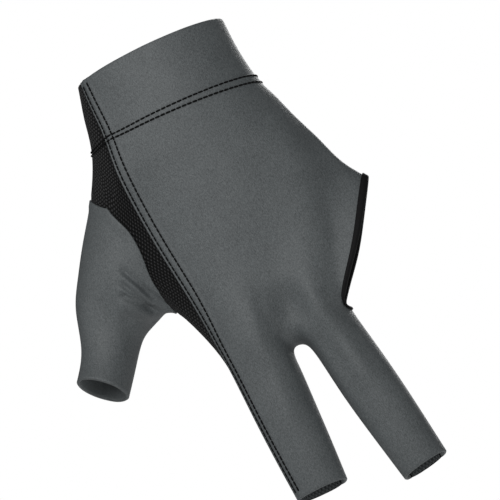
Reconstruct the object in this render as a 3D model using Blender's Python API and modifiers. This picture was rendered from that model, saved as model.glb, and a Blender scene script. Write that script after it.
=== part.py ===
"""Three-finger billiard glove for the left hand, in the form it has when worn.

The outside of the worn glove is one smooth form, drawn through sections: rings round the cuff and the palm,
round each finger and round the thumb. A coarse cage is fitted to the sections and smoothed by Subdivision
Surface. The form is then split along its seams into the pieces that the glove is sewn from, and each piece
gets the thickness of its cloth, inwards. A folded tape is carried round the edge of the side opening.

Metres. +Z runs from the fingers to the wrist, -Y is the back of the hand and +X the little finger's side.
The origin is the middle of the cuff's mouth.
"""

import math

import bpy
import numpy as np

# Cuff
CUFF_BREADTH = 0.0586
CUFF_DEPTH = 0.0405
CUFF_HEIGHT = 0.0249

# Palm, from the cuff's seam to the knuckles
PALM_BREADTH = 0.0800
PALM_DEPTH = 0.0350
PALM_LENGTH = 0.0890

# Finger sleeves, from the knuckles to their open ends
INDEX_LENGTH = 0.0595
INDEX_BREADTH = 0.0228
INDEX_DEPTH = 0.0220
INDEX_SPREAD_DEG = -4.4
MIDDLE_LENGTH = 0.0702
MIDDLE_BREADTH = 0.0206
MIDDLE_DEPTH = 0.0202
MIDDLE_SPREAD_DEG = 4.7

# Thumb sleeve, from the middle of its seam to its open end
THUMB_LENGTH = 0.0515
THUMB_BREADTH = 0.0200
THUMB_DEPTH = 0.0192
THUMB_SPREAD_DEG = 42.0

# Cloth
BACK_CLOTH = 0.0012
MESH_CLOTH = 0.0010
CUFF_CLOTH = 0.0016
THUMB_CLOTH = 0.0012
SEAM_GAP = 0.0004

# Tape folded over the edge of the side opening. Its two sides clear the cloth by the gap and the slack.
TAPE_WIDTH = 0.0008
TAPE_CLOTH = 0.0006
TAPE_GAP = 0.0004
TAPE_SLACK = 0.0003

# Fit of the cage to the sections, and smoothing
FIT_ROUNDS = 4
SMOOTH_LEVELS = 1
SECTION_SQUARENESS = 2.3

# Columns run round the hand from the seam beside the thumb, over the back, to the palm and the thumb.
# arc: share of the way round an oval section, from the little finger's side to the column that ends its side
# x, y: place at the knuckles, as shares of half the palm's breadth and half its depth
# end: drop of the column's end below the cuff's seam, as a share of the palm's length
COLUMNS = {
    "seam": dict(side="back", arc=1.00, x=-0.800, y=-0.34, end=0.880),
    "index_outer": dict(side="back", arc=0.87, x=-0.705, y=-0.62, end=0.900),
    "index_top": dict(side="back", arc=0.74, x=-0.510, y=-0.82, end=0.945),
    "index_inner": dict(side="back", arc=0.61, x=-0.290, y=-0.67, end=0.990),
    "middle_inner": dict(side="back", arc=0.51, x=-0.090, y=-0.65, end=1.005),
    "middle_top": dict(side="back", arc=0.40, x=0.155, y=-0.79, end=1.005),
    "middle_outer": dict(side="back", arc=0.30, x=0.405, y=-0.52, end=1.020),
    "ring_back": dict(side="back", arc=0.20, x=0.690, y=-0.56, end=0.880),
    "little_back": dict(side="back", arc=0.10, x=0.955, y=-0.42, end=0.737),
    "edge": dict(side="palm", arc=0.00, x=1.155, y=0.00, end=0.613),
    "little_palm": dict(side="palm", arc=0.13, x=0.955, y=0.46, end=0.720),
    "ring_palm": dict(side="palm", arc=0.26, x=0.690, y=0.62, end=0.865),
    "middle_outer_palm": dict(side="palm", arc=0.39, x=0.405, y=0.480, end=1.005),
    "middle_palm": dict(side="palm", arc=0.51, x=0.155, y=0.68, end=0.990),
    "middle_inner_palm": dict(side="palm", arc=0.62, x=-0.090, y=0.52, end=0.990),
    "index_inner_palm": dict(side="palm", arc=0.73, x=-0.290, y=0.52, end=0.980),
    "index_palm": dict(side="palm", arc=0.86, x=-0.510, y=0.66, end=0.935),
    "thumb_palm": dict(side="palm", arc=1.00, x=-0.720, y=0.50, end=0.890),
    "thumb_side": dict(side="thumb", arc=0.67, x=-0.840, y=0.26, end=0.865),
    "thumb_back": dict(side="thumb", arc=0.33, x=-0.860, y=-0.05, end=0.865),
}

# Sections of the cuff.
# along: share of its height
# tilt: drop of the little finger's side per unit of breadth
# centre, breadth, back, palm: shares of the cuff's breadth and depth
# seam: place of the seam beside the thumb, as a share of half the section's breadth
# thumb: degrees round the section of its column thumb_palm
CUFF_SECTIONS = {
    "mouth": dict(
        along=0.00, tilt=0.082, centre=0.000, breadth=1.000, back=0.500, palm=0.500, seam=-0.930, thumb=214
    ),
    "band": dict(
        along=0.50, tilt=0.100, centre=-0.038, breadth=1.056, back=0.500, palm=0.495, seam=-0.850, thumb=214
    ),
    "wrist": dict(
        along=1.00, tilt=0.120, centre=-0.058, breadth=1.130, back=0.500, palm=0.485, seam=-0.790, thumb=214
    ),
}

# Sections of the palm.
# along: share of the way from the cuff's seam to the end of each column
# knuckle: how far the section has changed from an oval to the section at the knuckles
# The rest are as in the cuff's table, as shares of the palm's breadth and depth.
PALM_SECTIONS = {
    "heel": dict(
        along=0.16, centre=-0.082, breadth=0.965, back=0.545, palm=0.540, seam=-0.660, thumb=218, knuckle=0.00
    ),
    "thumb_root": dict(
        along=0.36, centre=-0.054, breadth=0.968, back=0.500, palm=0.520, seam=-0.742, thumb=228, knuckle=0.00
    ),
    "mid_palm": dict(
        along=0.58, centre=-0.040, breadth=0.988, back=0.460, palm=0.470, seam=-0.757, thumb=226, knuckle=0.15
    ),
    "thumb_fork": dict(
        along=0.80, centre=-0.035, breadth=0.955, back=0.430, palm=0.420, seam=-0.764, thumb=212, knuckle=0.50
    ),
    "knuckles": dict(
        along=1.00, centre=0.0, breadth=1.0, back=0.5, palm=0.5, seam=-0.8, thumb=212, knuckle=1.00
    ),
}

# The thumb's seam, a closed loop.
# turn: degrees round the thumb, 0 at its outer side, 90 at its back
# x, y, drop: shares of half the palm's breadth, half its depth and its length, the drop from the cuff's seam
THUMB_SEAM = {
    ("heel", "thumb_side"): dict(turn=0, x=-1.150, y=0.17, drop=0.112),
    ("heel", "thumb_back"): dict(turn=36, x=-1.050, y=-0.46, drop=0.211),
    ("thumb_root", "thumb_back"): dict(turn=70, x=-0.980, y=-0.51, drop=0.335),
    ("mid_palm", "thumb_back"): dict(turn=102, x=-0.995, y=-0.43, drop=0.467),
    ("thumb_fork", "thumb_back"): dict(turn=133, x=-1.025, y=-0.26, drop=0.599),
    ("thumb_fork", "thumb_side"): dict(turn=180, x=-0.975, y=0.11, drop=0.710),
    ("thumb_fork", "thumb_palm"): dict(turn=227, x=-0.940, y=0.54, drop=0.620),
    ("mid_palm", "thumb_palm"): dict(turn=258, x=-0.825, y=0.94, drop=0.487),
    ("thumb_root", "thumb_palm"): dict(turn=290, x=-0.800, y=1.03, drop=0.330),
    ("heel", "thumb_palm"): dict(turn=324, x=-0.900, y=0.80, drop=0.194),
}

# Rows and columns whose quads are left out for the thumb, and the points that would lie inside its seam
THUMB_HOLE_ROWS = ("heel", "thumb_root", "mid_palm")
THUMB_HOLE_COLUMNS = ("thumb_palm", "thumb_side")
INSIDE_THUMB_HOLE = (("thumb_root", "thumb_side"), ("mid_palm", "thumb_side"))

# Middle of the thumb's seam, in the same shares
THUMB_ROOT = dict(x=-1.040, y=0.286, drop=0.402)

# Rings of the thumb.
# along, aside: place on the thumb's straight line and to the index finger's side of it, shares of its length
# fore: place to the palm's side, as a share of the thumb's depth
# lean: degrees between the ring and a square cut
# face: degrees that the ring turns to the back of the hand
THUMB_RINGS = {
    "ball": dict(along=0.20, aside=-0.055, fore=0.08, breadth=2.00, depth=1.55, lean=-33, face=0),
    "base": dict(along=0.39, aside=-0.082, fore=0.13, breadth=1.62, depth=1.35, lean=-25, face=0),
    "joint": dict(along=0.56, aside=-0.076, fore=0.13, breadth=1.37, depth=1.18, lean=-17, face=3),
    "tip": dict(along=0.78, aside=-0.024, fore=0.03, breadth=1.07, depth=1.06, lean=-10, face=8),
    "thumb_mouth": dict(along=1.00, aside=-0.005, fore=-0.18, breadth=1.00, depth=1.01, lean=-3, face=14),
}

# Fork between the fingers and the lower end of the side opening, in shares as in the thumb's seam
FORK = {
    "index_fork": dict(x=-0.215, y=-0.03, drop=1.090),
    "middle_fork": dict(x=-0.115, y=-0.03, drop=1.090),
    "ring_fork": dict(x=0.430, y=0.00, drop=1.054),
}

# Fingers: x, y and drop of the middle of the root, in shares as in the thumb's seam
INDEX_ROOT = dict(x=-0.510, y=-0.07, drop=0.980)
MIDDLE_ROOT = dict(x=0.155, y=-0.05, drop=0.980)

# Rings of the fingers.
# along: share of the sleeve's length
# fore: place to the palm's side, as a share of the sleeve's depth
# tilt: drop of the ring's side towards the little finger, per unit of its breadth
INDEX_RINGS = {
    "index_root": dict(along=0.20, fore=0.00, breadth=1.000, depth=1.00, tilt=0.35),
    "index_joint": dict(along=0.45, fore=0.01, breadth=0.985, depth=0.97, tilt=0.10),
    "index_middle": dict(along=0.72, fore=0.05, breadth=0.940, depth=0.91, tilt=0.00),
    "index_mouth": dict(along=1.00, fore=0.12, breadth=0.860, depth=0.84, tilt=0.00),
}
MIDDLE_RINGS = {
    "middle_root": dict(along=0.20, fore=0.00, breadth=0.965, depth=1.00, tilt=-0.05),
    "middle_joint": dict(along=0.45, fore=0.02, breadth=1.000, depth=0.98, tilt=0.00),
    "middle_middle": dict(along=0.72, fore=0.07, breadth=0.965, depth=0.93, tilt=0.00),
    "middle_mouth": dict(along=1.00, fore=0.16, breadth=0.890, depth=0.86, tilt=0.00),
}

# Degrees round each finger at which its columns lie, 0 towards the little finger and 90 at the back
INDEX_TURNS = {
    "seam": 164,
    "index_outer": 130,
    "index_top": 88,
    "index_inner": 44,
    "index_fork": 0,
    "index_inner_palm": -44,
    "index_palm": -84,
    "thumb_palm": -116,
    "thumb_side": -145,
    "thumb_back": -172,
}
MIDDLE_TURNS = {
    "middle_inner": 135,
    "middle_top": 90,
    "middle_outer": 45,
    "ring_fork": 0,
    "middle_outer_palm": -45,
    "middle_palm": -90,
    "middle_inner_palm": -135,
    "middle_fork": 180,
}

# The glove's sewn pieces
PIECES = {
    "cuff_back": dict(cloth=CUFF_CLOTH, colour=(0.100, 0.110, 0.113), roughness=0.80),
    "cuff_palm": dict(cloth=CUFF_CLOTH, colour=(0.006, 0.006, 0.006), roughness=0.75),
    "back_panel": dict(cloth=BACK_CLOTH, colour=(0.100, 0.110, 0.113), roughness=0.80),
    "palm_panel": dict(cloth=MESH_CLOTH, colour=(0.006, 0.006, 0.006), roughness=0.75),
    "thumb_sleeve": dict(cloth=THUMB_CLOTH, colour=(0.105, 0.115, 0.118), roughness=0.80),
}
TAPE = dict(colour=(0.004, 0.004, 0.004), roughness=0.70)

# Column at which the palm's mesh begins, and the columns of each finger that the mesh follows
PALM_STARTS = "little_palm"
INDEX_PALM_COLUMNS = ("index_inner_palm", "index_palm", "thumb_palm", "thumb_side", "thumb_back")
MIDDLE_PALM_COLUMNS = ("middle_outer_palm", "middle_palm")

# Degrees in a full turn
FULL_TURN = 360.0
# Degrees between two faces from which the edge between them is drawn sharp
SHARP_ANGLE = 50.0
# Shortest length that a vector is divided by
SHORTEST = 1e-12

column_names = list(COLUMNS)
piece_names = list(PIECES)


class Cage:
    """Points that the smooth form passes through, and the quads between them, each with its sewn piece."""

    def __init__(self):
        self.points = []
        self.index = {}
        self.quads = []
        self.pieces = []

    def add_point(self, key, position):
        self.index[key] = len(self.points)
        self.points.append(position)

    def add_quad(self, keys, piece):
        self.quads.append([self.index[key] for key in keys])
        self.pieces.append(piece_names.index(piece))

    def add_band(self, upper, lower, pieces):
        """Quads between two closed rings of keys, the lower one further from the wrist."""
        for i, piece in enumerate(pieces):
            after = (i + 1) % len(upper)
            self.add_quad([upper[i], lower[i], lower[after], upper[after]], piece)


def palm_point(place):
    """A point from its shares of half the palm's breadth, half its depth and its length."""
    x = place["x"] * PALM_BREADTH / 2
    y = place["y"] * PALM_DEPTH / 2
    return np.array([x, y, -CUFF_HEIGHT - place["drop"] * PALM_LENGTH])


def section_angle(column, section):
    """Degrees round an oval section at which a column lies: 0 the little finger's side, 90 the back."""
    seam = math.degrees(math.acos(section["seam"]))
    if column["side"] == "back":
        return seam * column["arc"]
    if column["side"] == "palm":
        return FULL_TURN - (FULL_TURN - section["thumb"]) * column["arc"]
    return seam + (section["thumb"] - seam) * column["arc"]


def oval_point(column, section, breadth, depth):
    """x and y of a column on an oval section whose back and palm sides have their own depths."""
    angle = math.radians(section_angle(column, section))
    half = section["back"] if math.sin(angle) > 0 else section["palm"]
    x = section["centre"] * breadth + section["breadth"] * breadth / 2 * math.cos(angle)
    return x, -half * depth * math.sin(angle)


def cuff_point(column, section):
    """A point of a tilted oval section of the cuff."""
    x, y = oval_point(column, section, CUFF_BREADTH, CUFF_DEPTH)
    return np.array([x, y, -section["along"] * CUFF_HEIGHT - section["tilt"] * x])


def add_hand(cage):
    """Rings of the cuff and the palm, without the thumb's hole."""
    for row, section in CUFF_SECTIONS.items():
        for name, column in COLUMNS.items():
            cage.add_point((row, name), cuff_point(column, section))
    for row, section in PALM_SECTIONS.items():
        for name, column in COLUMNS.items():
            if (row, name) in INSIDE_THUMB_HOLE:
                continue
            if (row, name) in THUMB_SEAM:
                cage.add_point((row, name), palm_point(THUMB_SEAM[row, name]))
                continue
            start = cuff_point(column, CUFF_SECTIONS["wrist"])
            end = palm_point(dict(x=column["x"], y=column["y"], drop=column["end"]))
            x, y = oval_point(column, section, PALM_BREADTH, PALM_DEPTH)
            across = (1 - section["knuckle"]) * np.array([x, y]) + section["knuckle"] * end[:2]
            z = start[2] + section["along"] * (end[2] - start[2])
            cage.add_point((row, name), np.array([*across, z]))

    rows = [*CUFF_SECTIONS, *PALM_SECTIONS]
    for upper, lower in zip(rows, rows[1:]):
        for i, name in enumerate(column_names):
            if upper in THUMB_HOLE_ROWS and name in THUMB_HOLE_COLUMNS:
                continue
            after = column_names[(i + 1) % len(column_names)]
            side = "back" if i < column_names.index(PALM_STARTS) else "palm"
            piece = f"cuff_{side}" if upper in ("mouth", "band") else f"{side}_panel"
            cage.add_quad([(upper, name), (lower, name), (lower, after), (upper, after)], piece)


def ring_point(turn, breadth, depth):
    """Across and palmward place on a finger's section, a slightly squared oval."""
    c, s = math.cos(math.radians(turn)), math.sin(math.radians(turn))
    power = 2 / SECTION_SQUARENESS
    across = math.copysign(abs(c) ** power, c) * breadth / 2
    return across, -math.copysign(abs(s) ** power, s) * depth / 2


def add_finger(cage, root, rings, turns, size, palm_columns):
    """Rings of one finger sleeve below the ring of its root, which is on the palm's end."""
    length, breadth, depth, spread = size
    lean = math.radians(spread)
    ahead = np.array([math.sin(lean), 0, -math.cos(lean)])
    aside = np.array([math.cos(lean), 0, math.sin(lean)])
    palmward = np.array([0, 1, 0])
    columns = list(turns)
    upper = [(("fork" if name in FORK else "knuckles"), name) for name in columns]
    pieces = ["palm_panel" if name in palm_columns else "back_panel" for name in columns]
    for row, ring in rings.items():
        centre = palm_point(root) + ahead * ring["along"] * length + palmward * ring["fore"] * depth
        for name, turn in turns.items():
            across, deep = ring_point(turn, ring["breadth"] * breadth, ring["depth"] * depth)
            place = centre + aside * across + palmward * deep - np.array([0, 0, ring["tilt"] * across])
            cage.add_point((row, name), place)
        lower = [(row, name) for name in columns]
        cage.add_band(upper, lower, pieces)
        upper = lower


def add_thumb(cage):
    """Rings of the thumb sleeve below its seam."""
    lean = math.radians(THUMB_SPREAD_DEG)
    ahead = np.array([-math.sin(lean), 0, -math.cos(lean)])
    aside = np.array([math.cos(lean), 0, -math.sin(lean)])
    palmward = np.array([0, 1, 0])
    upper = list(THUMB_SEAM)
    for row, ring in THUMB_RINGS.items():
        turn = math.radians(ring["lean"])
        across = aside * math.cos(turn) + ahead * -math.sin(turn)
        face = math.radians(ring["face"])
        deep = palmward * math.cos(face) + ahead * math.sin(face)
        centre = palm_point(THUMB_ROOT) + ahead * ring["along"] * THUMB_LENGTH
        centre = centre + aside * ring["aside"] * THUMB_LENGTH + palmward * ring["fore"] * THUMB_DEPTH
        for key, place in THUMB_SEAM.items():
            angle = math.radians(place["turn"])
            out = -math.cos(angle) * ring["breadth"] * THUMB_BREADTH / 2
            down = -math.sin(angle) * ring["depth"] * THUMB_DEPTH / 2
            cage.add_point((row, key), centre + across * out + deep * down)
        lower = [(row, key) for key in THUMB_SEAM]
        cage.add_band(upper, lower, ["thumb_sleeve"] * len(upper))
        upper = lower


def add_forks(cage):
    """The web between the fingers, and the lower end of the side opening."""
    for name, place in FORK.items():
        cage.add_point(("fork", name), palm_point(place))
    index, middle = ("fork", "index_fork"), ("fork", "middle_fork")
    back = [("knuckles", "index_inner"), index, middle, ("knuckles", "middle_inner")]
    palm = [index, ("knuckles", "index_inner_palm"), ("knuckles", "middle_inner_palm"), middle]
    cage.add_quad(back, "back_panel")
    cage.add_quad(palm, "back_panel")


def smooth_weights(count, quads):
    """Matrix that gives, for each point of a cage, where Subdivision Surface takes it in the end."""
    edges = {}
    for face in quads:
        for a, b in zip(face, face[1:] + face[:1]):
            edges.setdefault((min(a, b), max(a, b)), []).append(face)
    open_edges = {edge for edge, faces in edges.items() if len(faces) == 1}
    on_rim = {point for edge in open_edges for point in edge}
    weights = np.zeros((count, count))
    for point in range(count):
        if point in on_rim:
            weights[point, point] = 4 / 6
            for edge in open_edges:
                if point in edge:
                    weights[point, edge[0] + edge[1] - point] = 1 / 6
            continue
        spokes = [edge for edge in edges if point in edge]
        fans = [face for face in quads if point in face]
        number = len(spokes)
        whole = number * (number + 5)
        weights[point, point] = number * number / whole
        for edge in spokes:
            weights[point, edge[0] + edge[1] - point] = 4 / whole
        for face in fans:
            weights[point, face[(face.index(point) + 2) % 4]] += 1 / whole
    return weights


def fitted_cage(cage):
    """Cage points moved until the smooth form passes close to the given ones."""
    target = np.array(cage.points)
    weights = smooth_weights(len(target), cage.quads)
    points = target.copy()
    for _ in range(FIT_ROUNDS):
        points = points + (target - weights @ points)
    return points


def make_form(cage, helpers):
    """The smooth outside of the whole glove: places, outward normals, quads and the piece of each quad."""
    mesh = bpy.data.meshes.new("form")
    mesh.from_pydata(fitted_cage(cage).tolist(), [], cage.quads)
    for name in piece_names:
        mesh.materials.append(cloth_material(name, PIECES[name]))
    mesh.polygons.foreach_set("material_index", cage.pieces)
    form = bpy.data.objects.new("form", mesh)
    form.hide_render = True
    form.display_type = "WIRE"
    helpers.objects.link(form)
    smooth = form.modifiers.new("smooth", "SUBSURF")
    smooth.levels = SMOOTH_LEVELS
    smooth.render_levels = SMOOTH_LEVELS
    bpy.context.view_layer.update()
    graph = bpy.context.evaluated_depsgraph_get()
    fine = bpy.data.meshes.new_from_object(form.evaluated_get(graph), depsgraph=graph)
    points = np.empty(len(fine.vertices) * 3, np.float32)
    normals = np.empty(len(fine.vertices) * 3, np.float32)
    quads = np.empty(len(fine.loops), np.int32)
    pieces = np.empty(len(fine.polygons), np.int32)
    fine.vertices.foreach_get("co", points)
    fine.vertices.foreach_get("normal", normals)
    fine.loops.foreach_get("vertex_index", quads)
    fine.polygons.foreach_get("material_index", pieces)
    bpy.data.meshes.remove(fine)
    points = points.reshape(-1, 3).astype(float)
    normals = normals.reshape(-1, 3).astype(float)
    return points, normals, quads.reshape(-1, 4), pieces


def unit(vectors):
    """Vectors scaled to length one."""
    return vectors / np.maximum(np.linalg.norm(vectors, axis=-1, keepdims=True), SHORTEST)


def rim_edges(quads):
    """Edges that one quad alone uses, in the direction in which it runs round them."""
    edges = np.concatenate([quads[:, [i, (i + 1) % 4]] for i in range(4)])
    ordered = np.sort(edges, axis=1)
    _, first, count = np.unique(ordered, axis=0, return_index=True, return_counts=True)
    return edges[first[count == 1]]


def drawn_in(points, normals, rim, distance):
    """Points, with those on the rim moved into their piece so that each rim edge moves by a distance."""
    inward = unit(np.cross(normals[rim].mean(axis=1), points[rim[:, 1]] - points[rim[:, 0]]))
    total = np.zeros_like(points)
    np.add.at(total, rim[:, 0], inward)
    np.add.at(total, rim[:, 1], inward)
    ends = np.unique(rim)
    length = np.linalg.norm(total[ends], axis=1, keepdims=True)
    moved = points.copy()
    moved[ends] += total[ends] / length * distance * (2 / np.maximum(length, 1.0))
    return moved


def cloth_material(name, finish):
    """Matt cloth of one colour."""
    material = bpy.data.materials.new(name)
    material.use_nodes = True
    shader = material.node_tree.nodes["Principled BSDF"]
    shader.inputs["Base Color"].default_value = (*finish["colour"], 1.0)
    shader.inputs["Roughness"].default_value = finish["roughness"]
    shader.inputs["Metallic"].default_value = 0.0
    return material


def add_body(name, points, faces, material, collection):
    """One smooth-shaded object from its points and quads."""
    mesh = bpy.data.meshes.new(name)
    mesh.from_pydata(points.tolist(), [], faces.tolist())
    mesh.materials.append(material)
    mesh.shade_smooth()
    mesh.set_sharp_from_angle(angle=math.radians(SHARP_ANGLE))
    collection.objects.link(bpy.data.objects.new(name, mesh))


def add_piece(name, form, collection):
    """One sewn piece: its part of the form, an inner wall along the form's normals, and the edge between."""
    points, normals, quads, pieces = form
    own = quads[pieces == piece_names.index(name)]
    rim = rim_edges(own)
    outer = drawn_in(points, normals, rim, SEAM_GAP / 2)
    inner = outer - normals * PIECES[name]["cloth"]
    used, local = np.unique(own, return_inverse=True)
    own = local.reshape(-1, 4)
    rim = np.searchsorted(used, rim)
    count = len(used)
    edge = np.column_stack([rim[:, 1], rim[:, 0], rim[:, 0] + count, rim[:, 1] + count])
    faces = np.concatenate([own, own[:, ::-1] + count, edge])
    places = np.concatenate([outer[used], inner[used]])
    add_body(name, places, faces, bpy.data.materials[name], collection)


def opening_loop(form, start):
    """Points round the side opening, in order, and for each the way into the cloth, in its surface."""
    points, normals, quads, _ = form
    rim = rim_edges(quads)
    after = dict(rim.tolist())
    loop = [start]
    while after[loop[-1]] != start:
        loop.append(after[loop[-1]])
    places = points[loop]
    along = np.roll(places, -1, axis=0) - np.roll(places, 1, axis=0)
    return loop, unit(np.cross(normals[loop], along))


def add_tape(form, start, collection):
    """Tape folded over the edge of the opening: a U-shaped section carried round it."""
    points, normals, _, _ = form
    loop, inward = opening_loop(form, start)
    place, normal = points[loop], normals[loop]
    above = TAPE_GAP + TAPE_SLACK
    below = max(BACK_CLOTH, MESH_CLOTH) + TAPE_GAP + TAPE_SLACK
    section = [
        (TAPE_WIDTH, above + TAPE_CLOTH),
        (-TAPE_GAP - TAPE_CLOTH, above + TAPE_CLOTH),
        (-TAPE_GAP - TAPE_CLOTH, -below - TAPE_CLOTH),
        (TAPE_WIDTH, -below - TAPE_CLOTH),
        (TAPE_WIDTH, -below),
        (-TAPE_GAP, -below),
        (-TAPE_GAP, above),
        (TAPE_WIDTH, above),
    ]
    rings = np.stack([place + inward * across + normal * up for across, up in section], axis=1)
    count, sides = rings.shape[:2]
    faces = []
    for i in range(count):
        for j in range(sides):
            here, there = i * sides, (i + 1) % count * sides
            beside = (j + 1) % sides
            faces.append([here + j, here + beside, there + beside, there + j])
    tape = cloth_material("edge_binding", TAPE)
    add_body("edge_binding", rings.reshape(-1, 3), np.array(faces), tape, collection)


def clear_scene():
    """Remove every object."""
    for thing in list(bpy.data.objects):
        bpy.data.objects.remove(thing, do_unlink=True)


def main():
    clear_scene()
    glove = bpy.data.collections.new("billiard_glove")
    helpers = bpy.data.collections.new("helpers")
    bpy.context.scene.collection.children.link(glove)
    bpy.context.scene.collection.children.link(helpers)

    cage = Cage()
    add_hand(cage)
    add_forks(cage)
    index_size = (INDEX_LENGTH, INDEX_BREADTH, INDEX_DEPTH, INDEX_SPREAD_DEG)
    add_finger(cage, INDEX_ROOT, INDEX_RINGS, INDEX_TURNS, index_size, INDEX_PALM_COLUMNS)
    middle_size = (MIDDLE_LENGTH, MIDDLE_BREADTH, MIDDLE_DEPTH, MIDDLE_SPREAD_DEG)
    add_finger(cage, MIDDLE_ROOT, MIDDLE_RINGS, MIDDLE_TURNS, middle_size, MIDDLE_PALM_COLUMNS)
    add_thumb(cage)

    form = make_form(cage, helpers)
    for name in piece_names:
        add_piece(name, form, glove)
    add_tape(form, cage.index["knuckles", "edge"], glove)


main()
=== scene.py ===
"""Dress of a three-finger billiard glove in its worn form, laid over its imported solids.

The outside of the glove is one smooth form: a coarse cage of rings, subdivided to a fine grid. Low relief
is laid on it (folded seam edges, the furrows that thread pulls, folds at the thumb, hollows between the
tendons), and it is then cut along its seams into the sewn pieces, each with its inner wall and a rounded
edge. Thread and the tape of the side opening are carried along curves on that form.

Metres. +Z runs from the fingers to the wrist, -Y is the back of the hand and +X the little finger's side.
"""

import logging
import math
from dataclasses import dataclass, field
from enum import Enum

import bpy
import numpy as np
from mathutils import Matrix


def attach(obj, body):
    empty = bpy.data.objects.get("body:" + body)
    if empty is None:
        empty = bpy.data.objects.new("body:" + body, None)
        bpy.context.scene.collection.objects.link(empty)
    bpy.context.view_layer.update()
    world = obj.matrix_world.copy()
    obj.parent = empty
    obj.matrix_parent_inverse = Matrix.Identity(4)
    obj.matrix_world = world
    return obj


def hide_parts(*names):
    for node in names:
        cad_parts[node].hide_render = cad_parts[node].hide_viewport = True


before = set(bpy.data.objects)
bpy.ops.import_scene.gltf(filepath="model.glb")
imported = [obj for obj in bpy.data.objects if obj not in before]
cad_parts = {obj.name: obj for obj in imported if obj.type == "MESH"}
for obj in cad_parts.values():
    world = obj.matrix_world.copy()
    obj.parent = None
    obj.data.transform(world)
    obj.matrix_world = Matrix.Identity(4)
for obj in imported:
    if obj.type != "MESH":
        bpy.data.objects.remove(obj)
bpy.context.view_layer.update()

Array = np.ndarray
LOG = logging.getLogger("billiard_glove")
MM = 0.001
TINY = 1e-12
BODY = "root"


class Sewn(Enum):
    """The glove's cloth pieces, by the name of the solid that each stands for."""

    CUFF_BACK = "cuff_back"
    CUFF_PALM = "cuff_palm"
    BACK = "back_panel"
    PALM = "palm_panel"
    THUMB = "thumb_sleeve"


class Slot(Enum):
    """Material slots of the record."""

    GREY = "grey_cloth"
    MESH = "black_mesh"
    TRIM = "black_trim"


@dataclass(frozen=True)
class Column:
    """One column of the cage: its side, its turn on an oval section and its place at the knuckles, as
    shares.
    """

    side: str
    arc: float
    x: float
    y: float
    end: float


@dataclass(frozen=True)
class Section:
    """One section of the cuff or the palm, in shares of its breadth and depth."""

    along: float
    centre: float
    breadth: float
    back: float
    palm: float
    seam: float
    thumb: float
    tilt: float = 0.0
    knuckle: float = 0.0


@dataclass(frozen=True)
class Spot:
    """A point in shares of half the palm's breadth and depth and of its length, with its turn round the
    thumb.
    """

    x: float
    y: float
    drop: float
    turn: float = 0.0


@dataclass(frozen=True)
class Ring:
    """One ring of a finger or the thumb, in shares of the sleeve's sizes, and in degrees."""

    along: float
    breadth: float
    depth: float
    fore: float = 0.0
    aside: float = 0.0
    tilt: float = 0.0
    lean: float = 0.0
    face: float = 0.0


def unit(vectors: Array) -> Array:
    """Vectors scaled to length one."""
    return vectors / np.maximum(np.linalg.norm(vectors, axis=-1, keepdims=True), TINY)


def smooth_step(low: float, high: float, values: Array) -> Array:
    """Rise from 0 at low to 1 at high, level at both ends: 3t^2 - 2t^3 of the share t of the way.

    Args:
        low: value where the rise starts.
        high: value where it ends.
        values: values to map.

    Returns:
        Numbers from 0 to 1, shaped as values.
    """
    share = np.clip((values - low) / (high - low), 0.0, 1.0)
    return share * share * (3.0 - 2.0 * share)


def arc_lengths(points: Array) -> Array:
    """Length along a line of points, up to each of them."""
    steps = np.linalg.norm(np.diff(points, axis=0), axis=1)
    return np.concatenate([[0.0], np.cumsum(steps)])


def resampled(points: Array, places: Array) -> Array:
    """Points of a line at the given lengths along it, each coordinate read off between its neighbours.

    Args:
        points: the line's points, (n, 3).
        places: lengths along it.

    Returns:
        One point for each place.
    """
    along = arc_lengths(points)
    return np.stack([np.interp(places, along, points[:, axis]) for axis in range(points.shape[1])], axis=1)


def nearest_on_line(points: Array, line: Array) -> tuple[Array, Array]:
    """Distance from each point to a line of straight pieces, and how far along it the nearest place lies.

    The nearest place on each piece is its start plus the point's share along it, held between 0 and 1, and
    the least distance over the pieces is kept.

    Args:
        points: (n, d) points.
        line: (m, d) points of the line.

    Returns:
        n distances and n lengths along the line.
    """
    starts, runs, before = line[:-1], np.diff(line, axis=0), arc_lengths(line)
    least, along = np.full(len(points), np.inf), np.zeros(len(points))
    squares = np.maximum((runs * runs).sum(axis=1), TINY)
    for start, run, square, length in zip(starts, runs, squares, before):
        share = np.clip((points - start) @ run / square, 0.0, 1.0)
        gap = points - start - share[:, None] * run
        size = (gap * gap).sum(axis=1)
        nearer = size < least
        least = np.where(nearer, size, least)
        along = np.where(nearer, length + share * math.sqrt(square), along)
    return np.sqrt(least), along


def nearest_point(points: Array, targets: Array, batch: int = 4000) -> tuple[Array, Array]:
    """Number of the nearest target to each point and its distance.

    The square of a distance is the sum of both squares less twice the product, taken for a batch of points
    against all the targets at once.

    Args:
        points: (n, 3) points.
        targets: (m, 3) points to choose from.
        batch: how many points to take at a time.

    Returns:
        n numbers of targets and n distances.
    """
    squares = (targets * targets).sum(axis=1)
    number = np.concatenate(
        [
            np.argmin(squares - 2 * points[first : first + batch] @ targets.T, axis=1)
            for first in range(0, len(points), batch)
        ]
    )
    return number, np.linalg.norm(points - targets[number], axis=1)


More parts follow.
